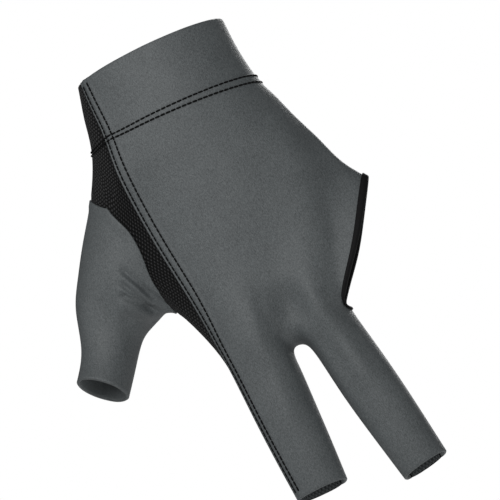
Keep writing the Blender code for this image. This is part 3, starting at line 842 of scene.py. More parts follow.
@dataclass
class Relief:
    """Low relief of the worn cloth, as heights over the smooth form."""

    tilt: float = 10.0
    facing_full: float = 0.4
    radial_lap: float = 0.00048
    lap: float = 0.00030
    hem: float = 0.00014
    dip: float = 0.00028
    rows: tuple[float, float] = (0.0009, 0.0036)
    radial_fall: tuple[float, float] = (0.0036, 0.0056)
    radial_reach: float = 0.006
    lap_fall: tuple[float, float] = (0.0022, 0.0038)
    hem_fall: tuple[float, float] = (0.0030, 0.0045)
    dip_fall: tuple[float, float] = (0.0, 0.0026)
    furrow: float = 0.00024
    furrow_breadth: float = 0.00050
    puff: float = 0.00016
    puff_breadth: float = 0.0009
    shift: float = 0.0013
    shift_from: tuple[float, float] = (0.088, 0.125)
    hand: tuple[Crease, ...] = (
        Crease(((-0.5, -94.0), (-1.4, -102.0), (-2.6, -110.0), (-3.6, -118.0)), -3.4, 4.4, 11.0),
        Crease(
            ((-12.0, -86.0), (-14.0, -95.6), (-17.8, -112.3), (-20.6, -129.6), (-24.4, -151.3)),
            0.55,
            2.4,
            14.0,
        ),
        Crease(((5.0, -96.0), (6.8, -106.0), (7.8, -117.4), (9.2, -130.9), (10.2, -148.2)), 0.85, 2.3, 12.0),
        Crease(((29.1, -33.2), (28.8, -46.9), (27.8, -61.0), (21.1, -88.6), (15.4, -104.2)), 0.9, 4.0, 18.0),
        Crease(((-10.6, -92.0), (-11.4, -101.0), (-12.6, -112.0)), -0.28, 2.0, 9.0),
        Crease(((14.5, -108.0), (15.5, -122.0), (16.5, -140.0)), -0.45, 2.0, 8.0),
        Crease(((1.0, -112.0), (2.2, -124.0), (3.6, -140.0), (4.6, -156.0)), -0.70, 2.3, 12.0),
        Crease(((-9.5, -116.0), (-12.0, -130.0), (-14.5, -146.0)), -0.50, 2.2, 10.0),
    )
    thumb: tuple[Crease, ...] = (
        Crease(
            ((-49.1, -60.9), (-47.1, -66.4), (-45.1, -71.4), (-43.4, -76.8), (-41.4, -81.7), (-39.9, -85.0)),
            -1.10,
            0.85,
        ),
        Crease(((-51.9, -65.6), (-50.1, -70.0), (-48.1, -75.0), (-46.4, -80.3), (-44.0, -83.7)), -1.10, 0.80),
        Crease(((-54.4, -69.2), (-51.7, -72.9), (-48.8, -77.0), (-46.1, -81.5), (-43.7, -84.8)), -1.30, 1.00),
        Crease(((-50.6, -63.0), (-48.7, -68.0), (-46.7, -73.5), (-44.8, -79.0)), 0.65, 0.75),
        Crease(((-53.2, -67.4), (-50.9, -71.6), (-48.4, -76.2), (-46.2, -80.9)), 0.65, 0.65),
        Crease(((-58.0, -77.0), (-53.0, -81.5), (-48.5, -86.0), (-45.5, -90.0)), -0.9, 2.2),
        Crease(((-57.5, -72.0), (-54.0, -76.5), (-50.0, -81.0), (-46.5, -85.5)), 0.5, 1.5),
    )

    def creases(self, form: WornForm, chosen: tuple[Crease, ...]) -> Array:
        """Heights of creases on the side of the form that faces the picture.

        Each adds its height times e to the power of minus half the square of the distance over its breadth,
        and fades in and out along its length.

        Args:
            form: the worn form.
            chosen: the creases.

        Returns:
            A height in metres for each point.
        """
        tilt = math.radians(self.tilt)
        flat = np.column_stack(
            [form.points[:, 0], form.points[:, 2] * math.cos(tilt) - form.points[:, 1] * math.sin(tilt)]
        )
        facing = form.normals @ np.array([0.0, -math.cos(tilt), -math.sin(tilt)])
        total = np.zeros(len(form.points))
        for crease in chosen:
            line = np.array(crease.path) * MM
            gap, along = nearest_on_line(flat, line)
            ends = crease.fade * MM
            length = arc_lengths(line)[-1]
            share = smooth_step(0.0, ends, along) * smooth_step(0.0, ends, length - along)
            total += crease.height * MM * np.exp(-((gap / crease.breadth / MM) ** 2) / 2) * share
        return total * smooth_step(0.0, self.facing_full, facing)

    def edge_shift(self, drop: Array) -> Array:
        """How much farther from the edge the rows of thread lie on the index sleeve, by the drop below the
        cuff.
        """
        return self.shift * smooth_step(*self.shift_from, drop)

    def furrows(self, gap: Array) -> Array:
        """Furrows under two rows of thread and the cloth puffed up between them, by the distance from the
        edge.

        Args:
            gap: distance of each point from the edge.

        Returns:
            A height for each.
        """
        near, far = self.rows
        bell = [np.exp(-(((gap - row) / self.furrow_breadth) ** 2) / 2) for row in self.rows]
        middle = (near + far) / 2
        swell = np.exp(-(((gap - middle) / self.puff_breadth) ** 2) / 2)
        return self.puff * swell - self.furrow * (bell[0] + bell[1])

    def heights(self, seams: Seams, kind: Sewn) -> Array:
        """Height of each of the form's points for one piece.

        Args:
            seams: the form's seams.
            kind: the piece.

        Returns:
            A height in metres for each point.
        """
        form = seams.form
        if kind in (Sewn.PALM, Sewn.CUFF_PALM):
            near = np.minimum.reduce([seams.radial_gap, seams.thumb_gap, seams.side_gap])
            return -self.dip * (1 - smooth_step(*self.dip_fall, near))
        if kind is Sewn.THUMB:
            lapped = self.lap * (1 - smooth_step(*self.lap_fall, seams.thumb_gap))
            return lapped + self.creases(form, self.thumb)
        gap = seams.radial_gap - self.edge_shift(-form.points[:, 2])
        total = self.radial_lap * (1 - smooth_step(*self.radial_fall, gap)) + self.furrows(gap)
        apart = seams.radial_gap > self.radial_reach
        total += self.lap * (1 - smooth_step(*self.lap_fall, seams.side_gap)) * apart
        total += self.creases(form, self.hand)
        if kind is Sewn.CUFF_BACK:
            total += self.hem * (1 - smooth_step(*self.hem_fall, seams.wrist_gap))
        return total


class Shader:
    """A cloth's node tree, built up one node at a time."""

    def __init__(self, name: str) -> None:
        """Starts a material with a Principled shader and its output.

        Args:
            name: the material's name.
        """
        self.material = bpy.data.materials.new(name)
        self.material.use_nodes = True
        self.tree = self.material.node_tree
        self.surface = self.tree.nodes["Principled BSDF"]

    def node(self, kind: str, **settings: object) -> bpy.types.Node:
        """Adds a node and sets each setting as an attribute of it.

        Args:
            kind: the node's type.
            settings: its attributes.

        Returns:
            The new node.
        """
        made = self.tree.nodes.new(kind)
        for name, value in settings.items():
            setattr(made, name, value)
        return made

    def link(self, start: bpy.types.NodeSocket, end: bpy.types.NodeSocket) -> None:
        """Joins an output to an input."""
        self.tree.links.new(start, end)

    def value(self, operation: str, first: object, second: object = 0.0, third: object = 0.0) -> object:
        """Output of a Math node.

        Args:
            operation: the node's operation.
            first: a socket or a number.
            second: a socket or a number.
            third: a socket or a number.

        Returns:
            The node's output socket.
        """
        made = self.node("ShaderNodeMath", operation=operation)
        for place, given in enumerate((first, second, third)):
            if isinstance(given, (int, float)):
                made.inputs[place].default_value = given
            else:
                self.link(given, made.inputs[place])
        return made.outputs[0]

    def noise(self, source: object, scale: float, detail: float = 3.0, roughness: float = 0.6) -> object:
        """Value of a Noise texture read at the given coordinates.

        Args:
            source: socket of coordinates.
            scale: noise cells per unit of them.
            detail: octaves.
            roughness: share of each octave that the next one keeps.

        Returns:
            The noise's value, about 0.5 in the middle.
        """
        made = self.node("ShaderNodeTexNoise")
        made.inputs["Scale"].default_value = scale
        made.inputs["Detail"].default_value = detail
        made.inputs["Roughness"].default_value = roughness
        self.link(source, made.inputs["Vector"])
        return made.outputs["Fac"]

    def stretched(self, source: object, scale: tuple[float, float, float]) -> object:
        """Coordinates scaled along each axis, which stretches what is read at them.

        Args:
            source: socket of coordinates.
            scale: the scale along each axis.

        Returns:
            The scaled coordinates' socket.
        """
        made = self.node("ShaderNodeMapping")
        made.inputs["Scale"].default_value = scale
        self.link(source, made.inputs["Vector"])
        return made.outputs["Vector"]

    def mixed(self, share: object, low: tuple[float, ...], high: tuple[float, ...]) -> object:
        """Colour between two by a share, which is held between 0 and 1.

        Args:
            share: socket of the share.
            low: colour at 0, linear.
            high: colour at 1, linear.

        Returns:
            The colour's socket.
        """
        made = self.node("ShaderNodeMix", data_type="RGBA", clamp_factor=True)
        made.inputs[6].default_value = (*low, 1.0)
        made.inputs[7].default_value = (*high, 1.0)
        self.link(share, made.inputs[0])
        return made.outputs[2]

    def raised(self, height: object, distance: float, strength: float = 1.0) -> None:
        """Tilts the shading by a height, in units of a distance in metres.

        Args:
            height: socket of the height.
            distance: metres for a height of one.
            strength: share of the tilt that is used.
        """
        made = self.node("ShaderNodeBump")
        made.inputs["Distance"].default_value = distance
        made.inputs["Strength"].default_value = strength
        self.link(height, made.inputs["Height"])
        self.link(made.outputs["Normal"], self.surface.inputs["Normal"])

    def set(self, **values: object) -> None:
        """Sets inputs of the shader, named with low lines for spaces."""
        for name, value in values.items():
            self.surface.inputs[name.replace("_", " ")].default_value = value


@dataclass(frozen=True)
class StretchCloth:
    """Heathered stretch knit: short pale and dark fibres along the wales over a fine ribbed ground."""

    name: str
    dark: tuple[float, float, float]
    light: tuple[float, float, float]
    rib: float = 0.00062
    course: float = 0.00048
    depth: float = 0.00006
    roughness: float = 0.60
    shine: float = 0.55
    fleck_share: float = 0.62

    def material(self) -> bpy.types.Material:
        """Colour from two stretched noises, height from crossed waves of the ribs and the courses.

        Returns:
            The new material.
        """
        cloth = Shader(self.name)
        place = cloth.node("ShaderNodeTexCoord").outputs["Object"]
        chart = cloth.node("ShaderNodeUVMap", uv_map="cloth").outputs["UV"]
        flecks = cloth.noise(cloth.stretched(place, (3000.0, 3000.0, 1500.0)), 1.0, 2.0, 0.6)
        clouds = cloth.noise(place, 95.0, 3.0, 0.55)
        share = cloth.value("MULTIPLY_ADD", flecks, 4.0, -1.5)
        clouded = cloth.value("MULTIPLY", clouds, 1 - self.fleck_share)
        share = cloth.value("ADD", cloth.value("MULTIPLY", share, self.fleck_share), clouded)
        cloth.link(cloth.mixed(share, self.dark, self.light), cloth.surface.inputs["Base Color"])
        axes = cloth.node("ShaderNodeSeparateXYZ")
        cloth.link(chart, axes.inputs["Vector"])
        ribs = cloth.value("SINE", cloth.value("MULTIPLY", axes.outputs["X"], math.tau / self.rib))
        courses = cloth.value("SINE", cloth.value("MULTIPLY", axes.outputs["Y"], math.tau / self.course))
        knit = cloth.value("MULTIPLY_ADD", courses, 0.5, ribs)
        height = cloth.value("MULTIPLY_ADD", flecks, 1.6, cloth.value("MULTIPLY", knit, 0.10))
        cloth.raised(height, self.depth)
        cloth.set(Roughness=self.roughness, Metallic=0.0)
        cloth.set(Specular_IOR_Level=self.shine)
        return cloth.material


@dataclass(frozen=True)
class KnitMesh:
    """Black knitted mesh: knots in staggered rows, a little paler and higher than the ground between them."""

    name: str
    ground: tuple[float, float, float]
    knot: tuple[float, float, float]
    pitch: float = 0.00150
    rows: float = 0.00120
    depth: float = 0.00022
    roughness: float = 0.62
    sheen: float = 0.05

    def material(self) -> bpy.types.Material:
        """Knots where a wave across and one along the cloth's chart agree, and fine thread noise over them.

        Returns:
            The new material.
        """
        cloth = Shader(self.name)
        place = cloth.node("ShaderNodeTexCoord").outputs["Object"]
        chart = cloth.node("ShaderNodeUVMap", uv_map="cloth").outputs["UV"]
        axes = cloth.node("ShaderNodeSeparateXYZ")
        cloth.link(chart, axes.inputs["Vector"])
        across = cloth.value("MULTIPLY", axes.outputs["X"], math.tau / self.pitch)
        along = cloth.value("MULTIPLY", axes.outputs["Y"], math.pi / self.rows)
        knots = cloth.value("MULTIPLY", cloth.value("COSINE", across), cloth.value("COSINE", along))
        threads = cloth.noise(place, 2600.0, 2.0, 0.6)
        height = cloth.value("MULTIPLY_ADD", threads, 0.5, knots)
        share = cloth.value("MULTIPLY_ADD", height, 1.0, -0.42)
        cloth.link(cloth.mixed(share, self.ground, self.knot), cloth.surface.inputs["Base Color"])
        cloth.raised(height, self.depth)
        cloth.set(Roughness=self.roughness, Metallic=0.0, Sheen_Weight=self.sheen, Sheen_Roughness=0.4)
        cloth.set(Specular_IOR_Level=0.12)
        return cloth.material


@dataclass(frozen=True)
class Trim:
    """Black woven tape or spun thread, with fine fibre noise in its colour and height."""

    name: str
    colour: tuple[float, float, float]
    pale: tuple[float, float, float]
    grain: float = 3200.0
    depth: float = 0.00006
    roughness: float = 0.8

    def material(self) -> bpy.types.Material:
        """Colour and height from one fine noise.

        Returns:
            The new material.
        """
        cloth = Shader(self.name)
        place = cloth.node("ShaderNodeTexCoord").outputs["Object"]
        fibres = cloth.noise(place, self.grain, 2.0, 0.6)
        cloth.link(cloth.mixed(fibres, self.colour, self.pale), cloth.surface.inputs["Base Color"])
        cloth.raised(fibres, self.depth)
        cloth.set(Roughness=self.roughness, Metallic=0.0, Sheen_Weight=0.0, Specular_IOR_Level=0.12)
        return cloth.material


@dataclass
class Wall:
    """How one cloth piece gets its wall: its thickness, and what its edge does at a seam and at an open
    end.
    """

    thickness: float
    edge_thickness: float = 0.0007
    lap_reach: float = 0.0042
    edge_steps: int = 4
    bulge: float = 0.55


@dataclass
class SewnPiece:
    """One cloth piece cut from the form, with its inner wall and a rounded edge."""

    kind: Sewn
    slot: Slot
    wall: Wall
    flat: tuple[float, float]
    area: float
    outside: bpy.types.Material
    inside: bpy.types.Material

    def build(self, form: "WornForm", heights: Array, edges: Array) -> bpy.types.Object:
        """Makes the piece's object.

        The outer wall is the form, moved out by the relief. The inner wall lies under it by the thickness,
        which thins to that of the edge at a seam. Between them a half round runs along the edge: the middle
        of the two walls, plus cosine of the turn times half their gap, plus sine times the way out of the
        piece.

        Args:
            form: the worn form.
            heights: relief at each of its points.
            edges: distance from each of its points to the nearest seam.

        Returns:
            The new object.
        """
        chosen = form.of(self.kind)
        own, corners = form.quads[chosen], form.corners[chosen]
        used, local = np.unique(own, return_inverse=True)
        own = local.reshape(-1, 4)
        base, normals = form.points[used], form.normals[used]
        near = 1 - smooth_step(0.0, self.wall.lap_reach, edges[used])
        thickness = self.wall.thickness - (self.wall.thickness - self.wall.edge_thickness) * near
        outer = base + normals * heights[used][:, None]
        inner = outer - normals * thickness[:, None]
        net = Topology(own)
        rim = net.rim()
        away = unit(np.cross(outer[rim[:, 1]] - outer[rim[:, 0]], normals[rim[:, 0]] + normals[rim[:, 1]]))
        total = np.zeros_like(outer)
        np.add.at(total, rim[:, 0], away)
        np.add.at(total, rim[:, 1], away)
        ends = np.unique(rim)
        way = unit(total[ends])
        number = len(used)
        turns = np.linspace(0.0, math.pi, self.wall.edge_steps + 1)[1:-1]
        middle, half = (outer[ends] + inner[ends]) / 2, (outer[ends] - inner[ends]) / 2
        radius = np.linalg.norm(half, axis=1, keepdims=True)
        swell = self.wall.bulge * radius * way
        rounds = [middle + math.cos(turn) * half + math.sin(turn) * swell for turn in turns]
        points = np.concatenate([outer, inner, *rounds])
        place = np.full(number, -1)
        place[ends] = np.arange(len(ends))
        levels = [rim]
        levels += [2 * number + step * len(ends) + place[rim] for step in range(len(turns))]
        levels += [rim + number]
        strips = [np.stack([a[:, 1], a[:, 0], b[:, 0], b[:, 1]], axis=1) for a, b in zip(levels, levels[1:])]
        faces = np.concatenate([own, own[:, ::-1] + number, *strips])
        chart = np.zeros((number, 2))
        chart[own.ravel()] = corners[:, :, :2].reshape(-1, 2)
        rim_chart = chart[rim]
        strip_chart = np.stack([rim_chart[:, 1], rim_chart[:, 0], rim_chart[:, 0], rim_chart[:, 1]], axis=1)
        charts = [corners[:, :, :2], corners[:, ::-1, :2]] + [strip_chart] * len(strips)
        slots = np.zeros(len(faces), np.int32)
        # the inner wall takes the second material, a lining coloured paler as painted light
        slots[len(own) : 2 * len(own)] = 1
        name = "worn_" + self.kind.value
        thing = new_object(name, points, faces, [self.outside, self.inside], slots, np.concatenate(charts))
        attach(thing, BODY)
        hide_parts(self.kind.value)
        LOG.info("%s: %d faces", name, len(faces))
        return thing


def new_object(
    name: str,
    points: Array,
    faces: Array,
    materials: list[bpy.types.Material],
    slots: Array | None = None,
    chart: Array | None = None,
) -> bpy.types.Object:
    """Links a smooth-shaded mesh object made of quads.

    Args:
        name: the object's name.
        points: (n, 3) points.
        faces: (m, 4) point numbers, anticlockwise from outside.
        materials: its materials.
        slots: material number of each face, or None for the first.
        chart: (m, 4, 2) chart places at the corners, or None.

    Returns:
        The object.
    """
    mesh = bpy.data.meshes.new(name)
    mesh.vertices.add(len(points))
    mesh.vertices.foreach_set("co", points.astype(np.float32).ravel())
    mesh.loops.add(faces.size)
    mesh.loops.foreach_set("vertex_index", faces.astype(np.int32).ravel())
    mesh.polygons.add(len(faces))
    mesh.polygons.foreach_set("loop_start", np.arange(0, faces.size, 4, dtype=np.int32))
    if slots is not None:
        mesh.polygons.foreach_set("material_index", slots.astype(np.int32))
    if chart is not None:
        layer = mesh.uv_layers.new(name="cloth")
        layer.data.foreach_set("uv", chart.astype(np.float32).ravel())
    for material in materials:
        mesh.materials.append(material)
    mesh.update(calc_edges=True)
    mesh.validate()
    mesh.shade_smooth()
    thing = bpy.data.objects.new(name, mesh)
    bpy.context.scene.collection.objects.link(thing)
    return thing


@dataclass
class Thread:
    """Black sewing thread: separate stitches sunk at their ends, along rows on the cloth."""

    finish: bpy.types.Material
    pitch: float = 0.0021
    length: float = 0.00192
    radius: float = 0.00034
    lift: float = 0.00017
    sunk: float = 0.00014
    sides: int = 6
    along: tuple[float, ...] = (-0.50, -0.44, -0.26, 0.26, 0.44, 0.50)
    swell: tuple[float, ...] = (0.35, 0.80, 1.00, 1.00, 0.80, 0.35)
    wrist_rows: tuple[tuple[float, float], ...] = ((0.00075, 0.026), (-0.00145, 0.0))
    end_gap: float = 0.0012

    def stitches(self, line: Array, normals: Array) -> tuple[Array, Array]:
        """Closed stitches along a line, each a thin six-sided capsule bent down at both ends.

        A stitch's point is its middle, plus its run times the share along it, plus the normal times the
        lift less the sinking of its ends, plus its radius round the run.

        Args:
            line: points on the cloth.
            normals: the cloth's normal at each of them.

        Returns:
            Points and quads.
        """
        total = arc_lengths(line)[-1]
        count = int(total // self.pitch)
        middles = (np.arange(count) + 0.5) * total / count
        centre = resampled(line, middles)
        run = unit(resampled(line, middles + self.length / 2) - resampled(line, middles - self.length / 2))
        order = arc_lengths(line)
        up = np.stack([np.interp(middles, order, normals[:, axis]) for axis in range(3)], axis=1)
        up = unit(up - run * (up * run).sum(axis=1, keepdims=True))
        side = np.cross(run, up)
        along, swell = np.array(self.along), np.array(self.swell) * self.radius
        turn = np.arange(self.sides) * math.tau / self.sides
        height = self.lift - self.sunk * (2 * along) ** 2
        spine = centre[:, None] + run[:, None] * (along * self.length)[:, None]
        spine = spine + up[:, None] * height[:, None]
        ring = side[:, None, None] * np.cos(turn)[:, None] + up[:, None, None] * np.sin(turn)[:, None]
        points = spine[:, :, None] + ring * swell[:, None, None]
        one = np.arange(len(along) * self.sides).reshape(len(along), self.sides)
        after = np.roll(one, -1, axis=1)
        walls = np.stack([one[:-1], one[1:], after[1:], after[:-1]], axis=2).reshape(-1, 4)
        start, end = one[0], one[-1]
        caps = np.array([start[[0, 1, 2, 3]], start[[0, 3, 4, 5]], end[[3, 2, 1, 0]], end[[5, 4, 3, 0]]])
        quads = np.concatenate([walls, caps])
        return points.reshape(-1, 3), (quads + (np.arange(count) * one.size)[:, None, None]).reshape(-1, 4)

    def laid(self, form: WornForm, cloth: Array, guess: Array) -> tuple[Array, Array]:
        """Points near the form brought onto the cloth, each to the plane that touches it at its nearest
        point.

        Args:
            form: the worn form.
            cloth: its points, moved out by the relief.
            guess: points near it.

        Returns:
            The points on the cloth, and the form's normal at each.
        """
        number, _ = nearest_point(guess, form.points)
        normal = form.normals[number]
        off = ((guess - form.points[number]) * normal).sum(axis=1, keepdims=True)
        height = ((cloth[number] - form.points[number]) * normal).sum(axis=1, keepdims=True)
        return guess - off * normal + height * normal, normal

    def smoothed(self, line: Array, reach: int) -> Array:
        """A line with each point replaced by the mean of those within a reach of it, its ends repeated.

        Args:
            line: the line's points.
            reach: how many neighbours count on each side.

        Returns:
            The smoother line.
        """
        before, after = np.repeat(line[:1], reach, axis=0), np.repeat(line[-1:], reach, axis=0)
        padded = np.concatenate([before, line, after])
        window = np.lib.stride_tricks.sliding_window_view(padded, 2 * reach + 1, axis=0)
        return window.mean(axis=-1)

    def sew(self, name: str, parts: list[tuple[Array, Array]]) -> bpy.types.Object:
        """Joins rows of stitches into one object.

        Args:
            name: the object's name.
            parts: points and quads of each row.

        Returns:
            The object.
        """
        starts = np.cumsum([0] + [len(points) for points, _ in parts[:-1]])
        points = np.concatenate([points for points, _ in parts])
        quads = np.concatenate([quads + start for (_, quads), start in zip(parts, starts)])
        thing = new_object(name, points, quads, [self.finish])
        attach(thing, BODY)
        LOG.info("%s: %d faces", name, len(quads))
        return thing

    def sew_radial(self, seams: Seams, relief: Relief, cloth: Array) -> bpy.types.Object:
        """Two rows beside the radial seam, from the cuff's mouth to the end of the index sleeve.

        Args:
            seams: the form's seams.
            relief: the relief, which says how far from the edge the rows lie.
            cloth: the form's points, moved out by it.

        Returns:
            The object.
        """
        form, line = seams.form, seams.form.points[seams.radial]
        run = unit(np.gradient(line, axis=0))
        inward = np.cross(form.normals[seams.radial], run)
        toward = form.points[np.unique(form.quads[form.of(Sewn.BACK)])].mean(axis=0) - line.mean(axis=0)
        inward = inward * np.sign((inward * toward).sum(axis=1).mean())
        parts = []
        for gap in relief.rows:
            shifted = gap + relief.edge_shift(-line[:, 2:])
            laid, normal = self.laid(form, cloth, line + inward * shifted)
            length = arc_lengths(laid)
            kept = (length > self.end_gap) & (length < length[-1] - self.end_gap)
            parts.append(self.stitches(self.smoothed(laid[kept], 2), normal[kept]))
        return self.sew("radial_stitching", parts)

    def sew_wrist(self, seams: Seams, cloth: Array) -> bpy.types.Object:
        """Two rows right round the wrist, over the lower edge of the cuff.

        Args:
            seams: the form's seams.
            cloth: the form's points, moved out by the relief.

        Returns:
            The object.
        """
        form = seams.form
        hand = form.of(Sewn.BACK, Sewn.CUFF_BACK, Sewn.PALM, Sewn.CUFF_PALM)
        ring = form.line_where(hand, 2, 2.0, 0)
        ring = np.append(ring, ring[0])
        line, normal = form.points[ring], form.normals[ring]
        upward = np.cross(unit(np.gradient(line, axis=0)), normal)
        upward = upward * np.sign(upward[:, 2].mean())
        parts = []
        for rise, slope in self.wrist_rows:
            laid, normals = self.laid(form, cloth, line + upward * (rise + slope * line[:, :1]))
            laid[-1], normals[-1] = laid[0], normals[0]
            parts.append(self.stitches(self.smoothed(laid, 2), normals))
        return self.sew("wrist_stitching", parts)


@dataclass
class Tape:
    """Black tape folded over the edge of the side opening, broad at its top and narrow at the fingers'
    fork.
    """

    finish: bpy.types.Material
    thickness: float = 0.0006
    cloth: float = 0.0012
    clear: float = 0.00005
    nose: tuple[float, float] = (0.0009, 0.00065)
    breadth: tuple[float, float] = (0.0021, 0.0007)
    flat: tuple[float, float] = (0.110, 0.0100)
    area: float = 0.00065

    def rim(self, form: WornForm) -> Array:
        """Points of the side opening's edge in their order round it, by their turn about its middle.

        Args:
            form: the worn form.

        Returns:
            Point numbers in order.
        """
        on_rim = np.unique(Topology(form.quads).rim())
        knuckles = form.quads[np.abs(form.corners[:, :, 2] - (len(form.rows) - 1)) < 1e-9]
        chosen = np.intersect1d(on_rim, knuckles)
        points = form.points[chosen] - form.points[chosen].mean(axis=0)
        long_way = unit(points[np.argmax(points[:, 2])] - points[np.argmin(points[:, 2])])
        return chosen[np.argsort(np.arctan2(points[:, 1], points @ long_way))]

    def profile(self, breadth: Array, nose_reach: Array) -> Array:
        """Closed section of the folded tape at each place, as (away from the cloth, outwards) pairs.

        The outside runs up one flank, round the nose as half an ellipse and down the other flank. The
        inside comes back the same way, closer to the cloth by the tape's thickness.

        Args:
            breadth: how far the flanks reach over the cloth at each place.
            nose_reach: how far the nose stands away from it.

        Returns:
            (places, points of the section, 2).
        """
        turn = np.linspace(math.pi / 2, -math.pi / 2, 9)
        middle, inner = -self.cloth / 2, self.cloth / 2 + self.clear
        outer = inner + self.thickness
        cosine = np.cos(turn)
        tall = np.tile(middle + np.sin(turn) * outer, (len(breadth), 1))
        low = np.tile(middle + np.sin(turn[::-1]) * inner, (len(breadth), 1))
        nose = np.stack([nose_reach[:, None] * cosine, tall], axis=2)
        hollow = np.stack([(nose_reach - self.thickness)[:, None] * cosine[::-1], low], axis=2)
        bevel = self.thickness * 0.35
        flank = np.array([inner, outer - bevel, outer])
        count = len(breadth)
        reach = breadth[:, None]
        upper = np.stack([np.array([0.0, 0.0, bevel]) - reach, np.tile(middle + flank, (count, 1))], axis=2)
        lower = np.stack(
            [np.array([bevel, 0.0, 0.0]) - reach, np.tile(middle - flank[::-1], (count, 1))], axis=2
        )
        return np.concatenate([upper, nose, lower, hollow], axis=1)

    def bind(self, form: WornForm) -> bpy.types.Object:
        """Carries the section round the opening's edge and closes it on itself.

        Args:
            form: the worn form.

        Returns:
            The tape's object.
        """
        ring = self.rim(form)
        line, normal = form.points[ring], form.normals[ring]
        run = np.roll(line, -1, axis=0) - np.roll(line, 1, axis=0)
        away = np.cross(unit(run), normal)
        away = unit(away * np.sign((away @ np.array([0.8, 0.0, -0.6])).sum()))
        share = (line[:, 2].max() - line[:, 2]) / np.ptp(line[:, 2])
        breadth = self.breadth[0] + (self.breadth[1] - self.breadth[0]) * smooth_step(0.0, 1.0, share)
        nose = self.nose[0] + (self.nose[1] - self.nose[0]) * smooth_step(0.0, 1.0, share)
        section = self.profile(breadth, nose)
        points = line[:, None] + section[:, :, :1] * away[:, None] + section[:, :, 1:] * normal[:, None]
        count, size = len(ring), section.shape[1]
        number = np.arange(count * size).reshape(count, size)
        ahead, beside = np.roll(number, -1, axis=0), np.roll(number, -1, axis=1)
        quads = np.stack([number, beside, np.roll(beside, -1, axis=0), ahead], axis=2).reshape(-1, 4)
        points = points.reshape(-1, 3)
        first = np.cross(points[quads[0, 2]] - points[quads[0, 0]], points[quads[0, 3]] - points[quads[0, 1]])
        if first @ -away[0] < 0:
            quads = quads[:, ::-1]
        thing = new_object("side_tape", points, quads, [self.finish])
        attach(thing, BODY)
        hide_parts("edge_binding")
        LOG.info("side_tape: %d faces", len(quads))
        return thing


@dataclass(frozen=True)
class Lamp:
    """A square soft light, placed by how far it stands right of, above and before the glove in the picture.
    """

    name: str
    right: float
    up: float
    before: float
    size: float
    power: float


@dataclass
class Studio:
    """Camera, soft light and pale floor."""

    scale: float = 2728.0
    distance: float = 3.6
    rise: float = 10.0
    roll: float = 30.0
    aim: tuple[float, float] = (-0.0043, -0.0802)
    image: float = 500.0
    sensor: float = 36.0
    floor_height: float = -0.75
    floor_size: float = 30.0
    surround_light: float = 0.12
    floor_glow: float = 0.25
    lamps: tuple[Lamp, ...] = (
        Lamp("key", -0.32, 0.46, 0.92, 0.20, 5.8),
        Lamp("side", -0.95, 0.10, 0.40, 0.40, 2.2),
        Lamp("rear", 0.25, 0.45, -1.05, 0.50, 9.0),
    )

    def axes(self) -> tuple[Array, Array, Array, Array]:
        """The picture's right, its top, the way into it, and the point in its middle.

        Returns:
            Three directions of length one and a point.
        """
        rise, roll = math.radians(self.rise), math.radians(self.roll)
        across = np.array([1.0, 0.0, 0.0])
        up = np.array([0.0, -math.sin(rise), math.cos(rise)])
        ahead = np.array([0.0, math.cos(rise), math.sin(rise)])
        target = across * self.aim[0] + up * self.aim[1]
        right = across * math.cos(roll) - up * math.sin(roll)
        return right, across * math.sin(roll) + up * math.cos(roll), ahead, target

    def place_camera(self) -> None:
        """Camera below the hand by its rise, rolled, with the aimed point in the middle of the picture."""
        right, top, ahead, target = self.axes()
        place = target - ahead * self.distance
        lens = bpy.data.cameras.new("view")
        lens.sensor_width = self.sensor
        lens.lens = self.sensor * self.distance * self.scale / self.image
        lens.clip_end = 100.0
        camera = bpy.data.objects.new("view", lens)
        columns = np.column_stack([right, top, -ahead, place])
        camera.matrix_world = Matrix([*columns.tolist(), [0.0, 0.0, 0.0, 1.0]])
        bpy.context.scene.collection.objects.link(camera)
        bpy.context.scene.camera = camera

    def hang(self, lamp: Lamp) -> None:
        """Hangs a lamp so that it points at the middle of the glove.

        Args:
            lamp: the lamp's place, size and power.
        """
        right, top, ahead, target = self.axes()
        place = target + right * lamp.right + top * lamp.up - ahead * lamp.before
        light = bpy.data.lights.new(lamp.name, "AREA")
        light.size = lamp.size
        light.energy = lamp.power
        thing = bpy.data.objects.new(lamp.name, light)
        way = unit(target - place)
        side = unit(np.cross(way, top))
        columns = np.column_stack([side, np.cross(side, way), -way, place])
        thing.matrix_world = Matrix([*columns.tolist(), [0.0, 0.0, 0.0, 1.0]])
        bpy.context.scene.collection.objects.link(thing)

    def surround(self) -> None:
        """White surround, seen white and lighting the glove more softly."""
        world = bpy.data.worlds.new("surround")
        bpy.context.scene.world = world
        world.use_nodes = True
        tree = world.node_tree
        paths = tree.nodes.new("ShaderNodeLightPath")
        seen = tree.nodes["Background"]
        seen.inputs["Color"].default_value = (1.0, 1.0, 1.0, 1.0)
        strength = tree.nodes.new("ShaderNodeMapRange")
        strength.inputs["To Min"].default_value = self.surround_light
        strength.inputs["To Max"].default_value = 1.0
        tree.links.new(paths.outputs["Is Camera Ray"], strength.inputs["Value"])
        tree.links.new(strength.outputs["Result"], seen.inputs["Strength"])

    def lay_floor(self) -> None:
        """A pale floor well below the glove."""
        half = self.floor_size / 2
        corners = np.array([[-half, -half], [half, -half], [half, half], [-half, half]])
        points = np.column_stack([corners, np.full(4, self.floor_height)])
        pale = Shader("pale_floor")
        pale.set(Base_Color=(0.82, 0.82, 0.82, 1.0), Roughness=0.9)
        pale.set(Emission_Color=(1.0, 1.0, 1.0, 1.0), Emission_Strength=self.floor_glow)
        floor = new_object("floor", points, np.array([[0, 1, 2, 3]]), [pale.material])

    def build(self) -> None:
        """Camera, lights, surround and floor, and plain colour handling."""
        self.place_camera()
        self.surround()
        for lamp in self.lamps:
            self.hang(lamp)
        self.lay_floor()
        bpy.context.scene.view_settings.view_transform = "Standard"


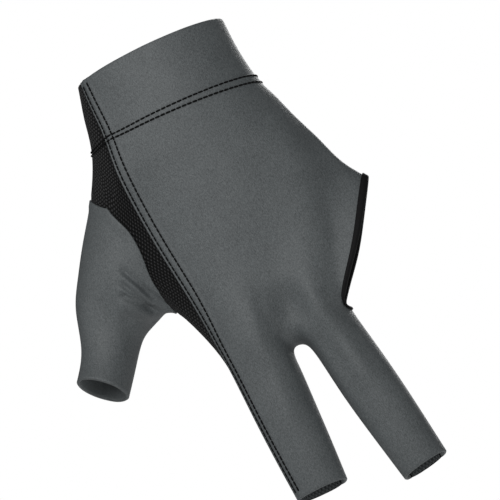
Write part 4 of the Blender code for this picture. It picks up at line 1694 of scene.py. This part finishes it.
@dataclass
class Glove:
    """The whole glove: its form, its relief and its sewn pieces."""

    grey: StretchCloth = StretchCloth("grey_cloth", (0.042, 0.0485, 0.051), (0.112, 0.124, 0.1275))
    # painted light: the grey lining is paler than the grey outside, to stand in for light reaching the inside
    # walls
    grey_inside: StretchCloth = StretchCloth("grey_lining", (0.125, 0.138, 0.142), (0.170, 0.185, 0.190))
    mesh: KnitMesh = KnitMesh("black_mesh", (0.0012, 0.0012, 0.0014), (0.048, 0.048, 0.049))
    # painted light: the black mesh's lining is grey, to stand in for light reaching the inside walls
    mesh_inside: KnitMesh = KnitMesh("mesh_lining", (0.080, 0.088, 0.091), (0.098, 0.107, 0.110))
    thread: Trim = Trim("black_thread", (0.0012, 0.0012, 0.0013), (0.0045, 0.0045, 0.0048))
    tape: Trim = Trim("black_tape", (0.0026, 0.0026, 0.0028), (0.0095, 0.0095, 0.0100), 1500.0, 0.00012, 0.7)

    def build(self) -> None:
        """Builds the pieces in order."""
        form = WornForm()
        LOG.info("form: %d points, %d quads", len(form.points), len(form.quads))
        seams, relief = Seams(form), Relief()
        edges = seams.nearest()
        grey, painted_light_lining = self.grey.material(), self.grey_inside.material()
        mesh, mesh_lining = self.mesh.material(), self.mesh_inside.material()
        pieces = (
            SewnPiece(Sewn.CUFF_BACK, Slot.GREY, Wall(0.0016), (0.10, 0.03), 0.0021, grey, painted_light_lining),
            SewnPiece(Sewn.CUFF_PALM, Slot.MESH, Wall(0.0016), (0.10, 0.03), 0.0024, mesh, mesh_lining),
            SewnPiece(Sewn.BACK, Slot.GREY, Wall(0.0012), (0.10, 0.17), 0.0124, grey, painted_light_lining),
            SewnPiece(Sewn.PALM, Slot.MESH, Wall(0.0010), (0.10, 0.17), 0.0104, mesh, mesh_lining),
            SewnPiece(Sewn.THUMB, Slot.GREY, Wall(0.0012), (0.09, 0.06), 0.0048, grey, painted_light_lining),
        )
        surface = np.full(len(form.points), -1.0)
        for piece in pieces:
            heights = relief.heights(seams, piece.kind)
            own = np.unique(form.quads[form.of(piece.kind)])
            surface[own] = np.maximum(surface[own], heights[own])
            piece.build(form, heights, edges)
        thread = Thread(self.thread.material())
        cloth = form.points + form.normals * surface[:, None]
        thread.sew_radial(seams, relief, cloth)
        thread.sew_wrist(seams, cloth)
        Tape(self.tape.material()).bind(form)


def main() -> None:
    """Builds the glove's pieces in order, then the camera, the lights and the floor."""
    logging.basicConfig(level=logging.INFO, format="%(message)s")
    Glove().build()
    Studio().build()


if __name__ == "__main__":
    main()
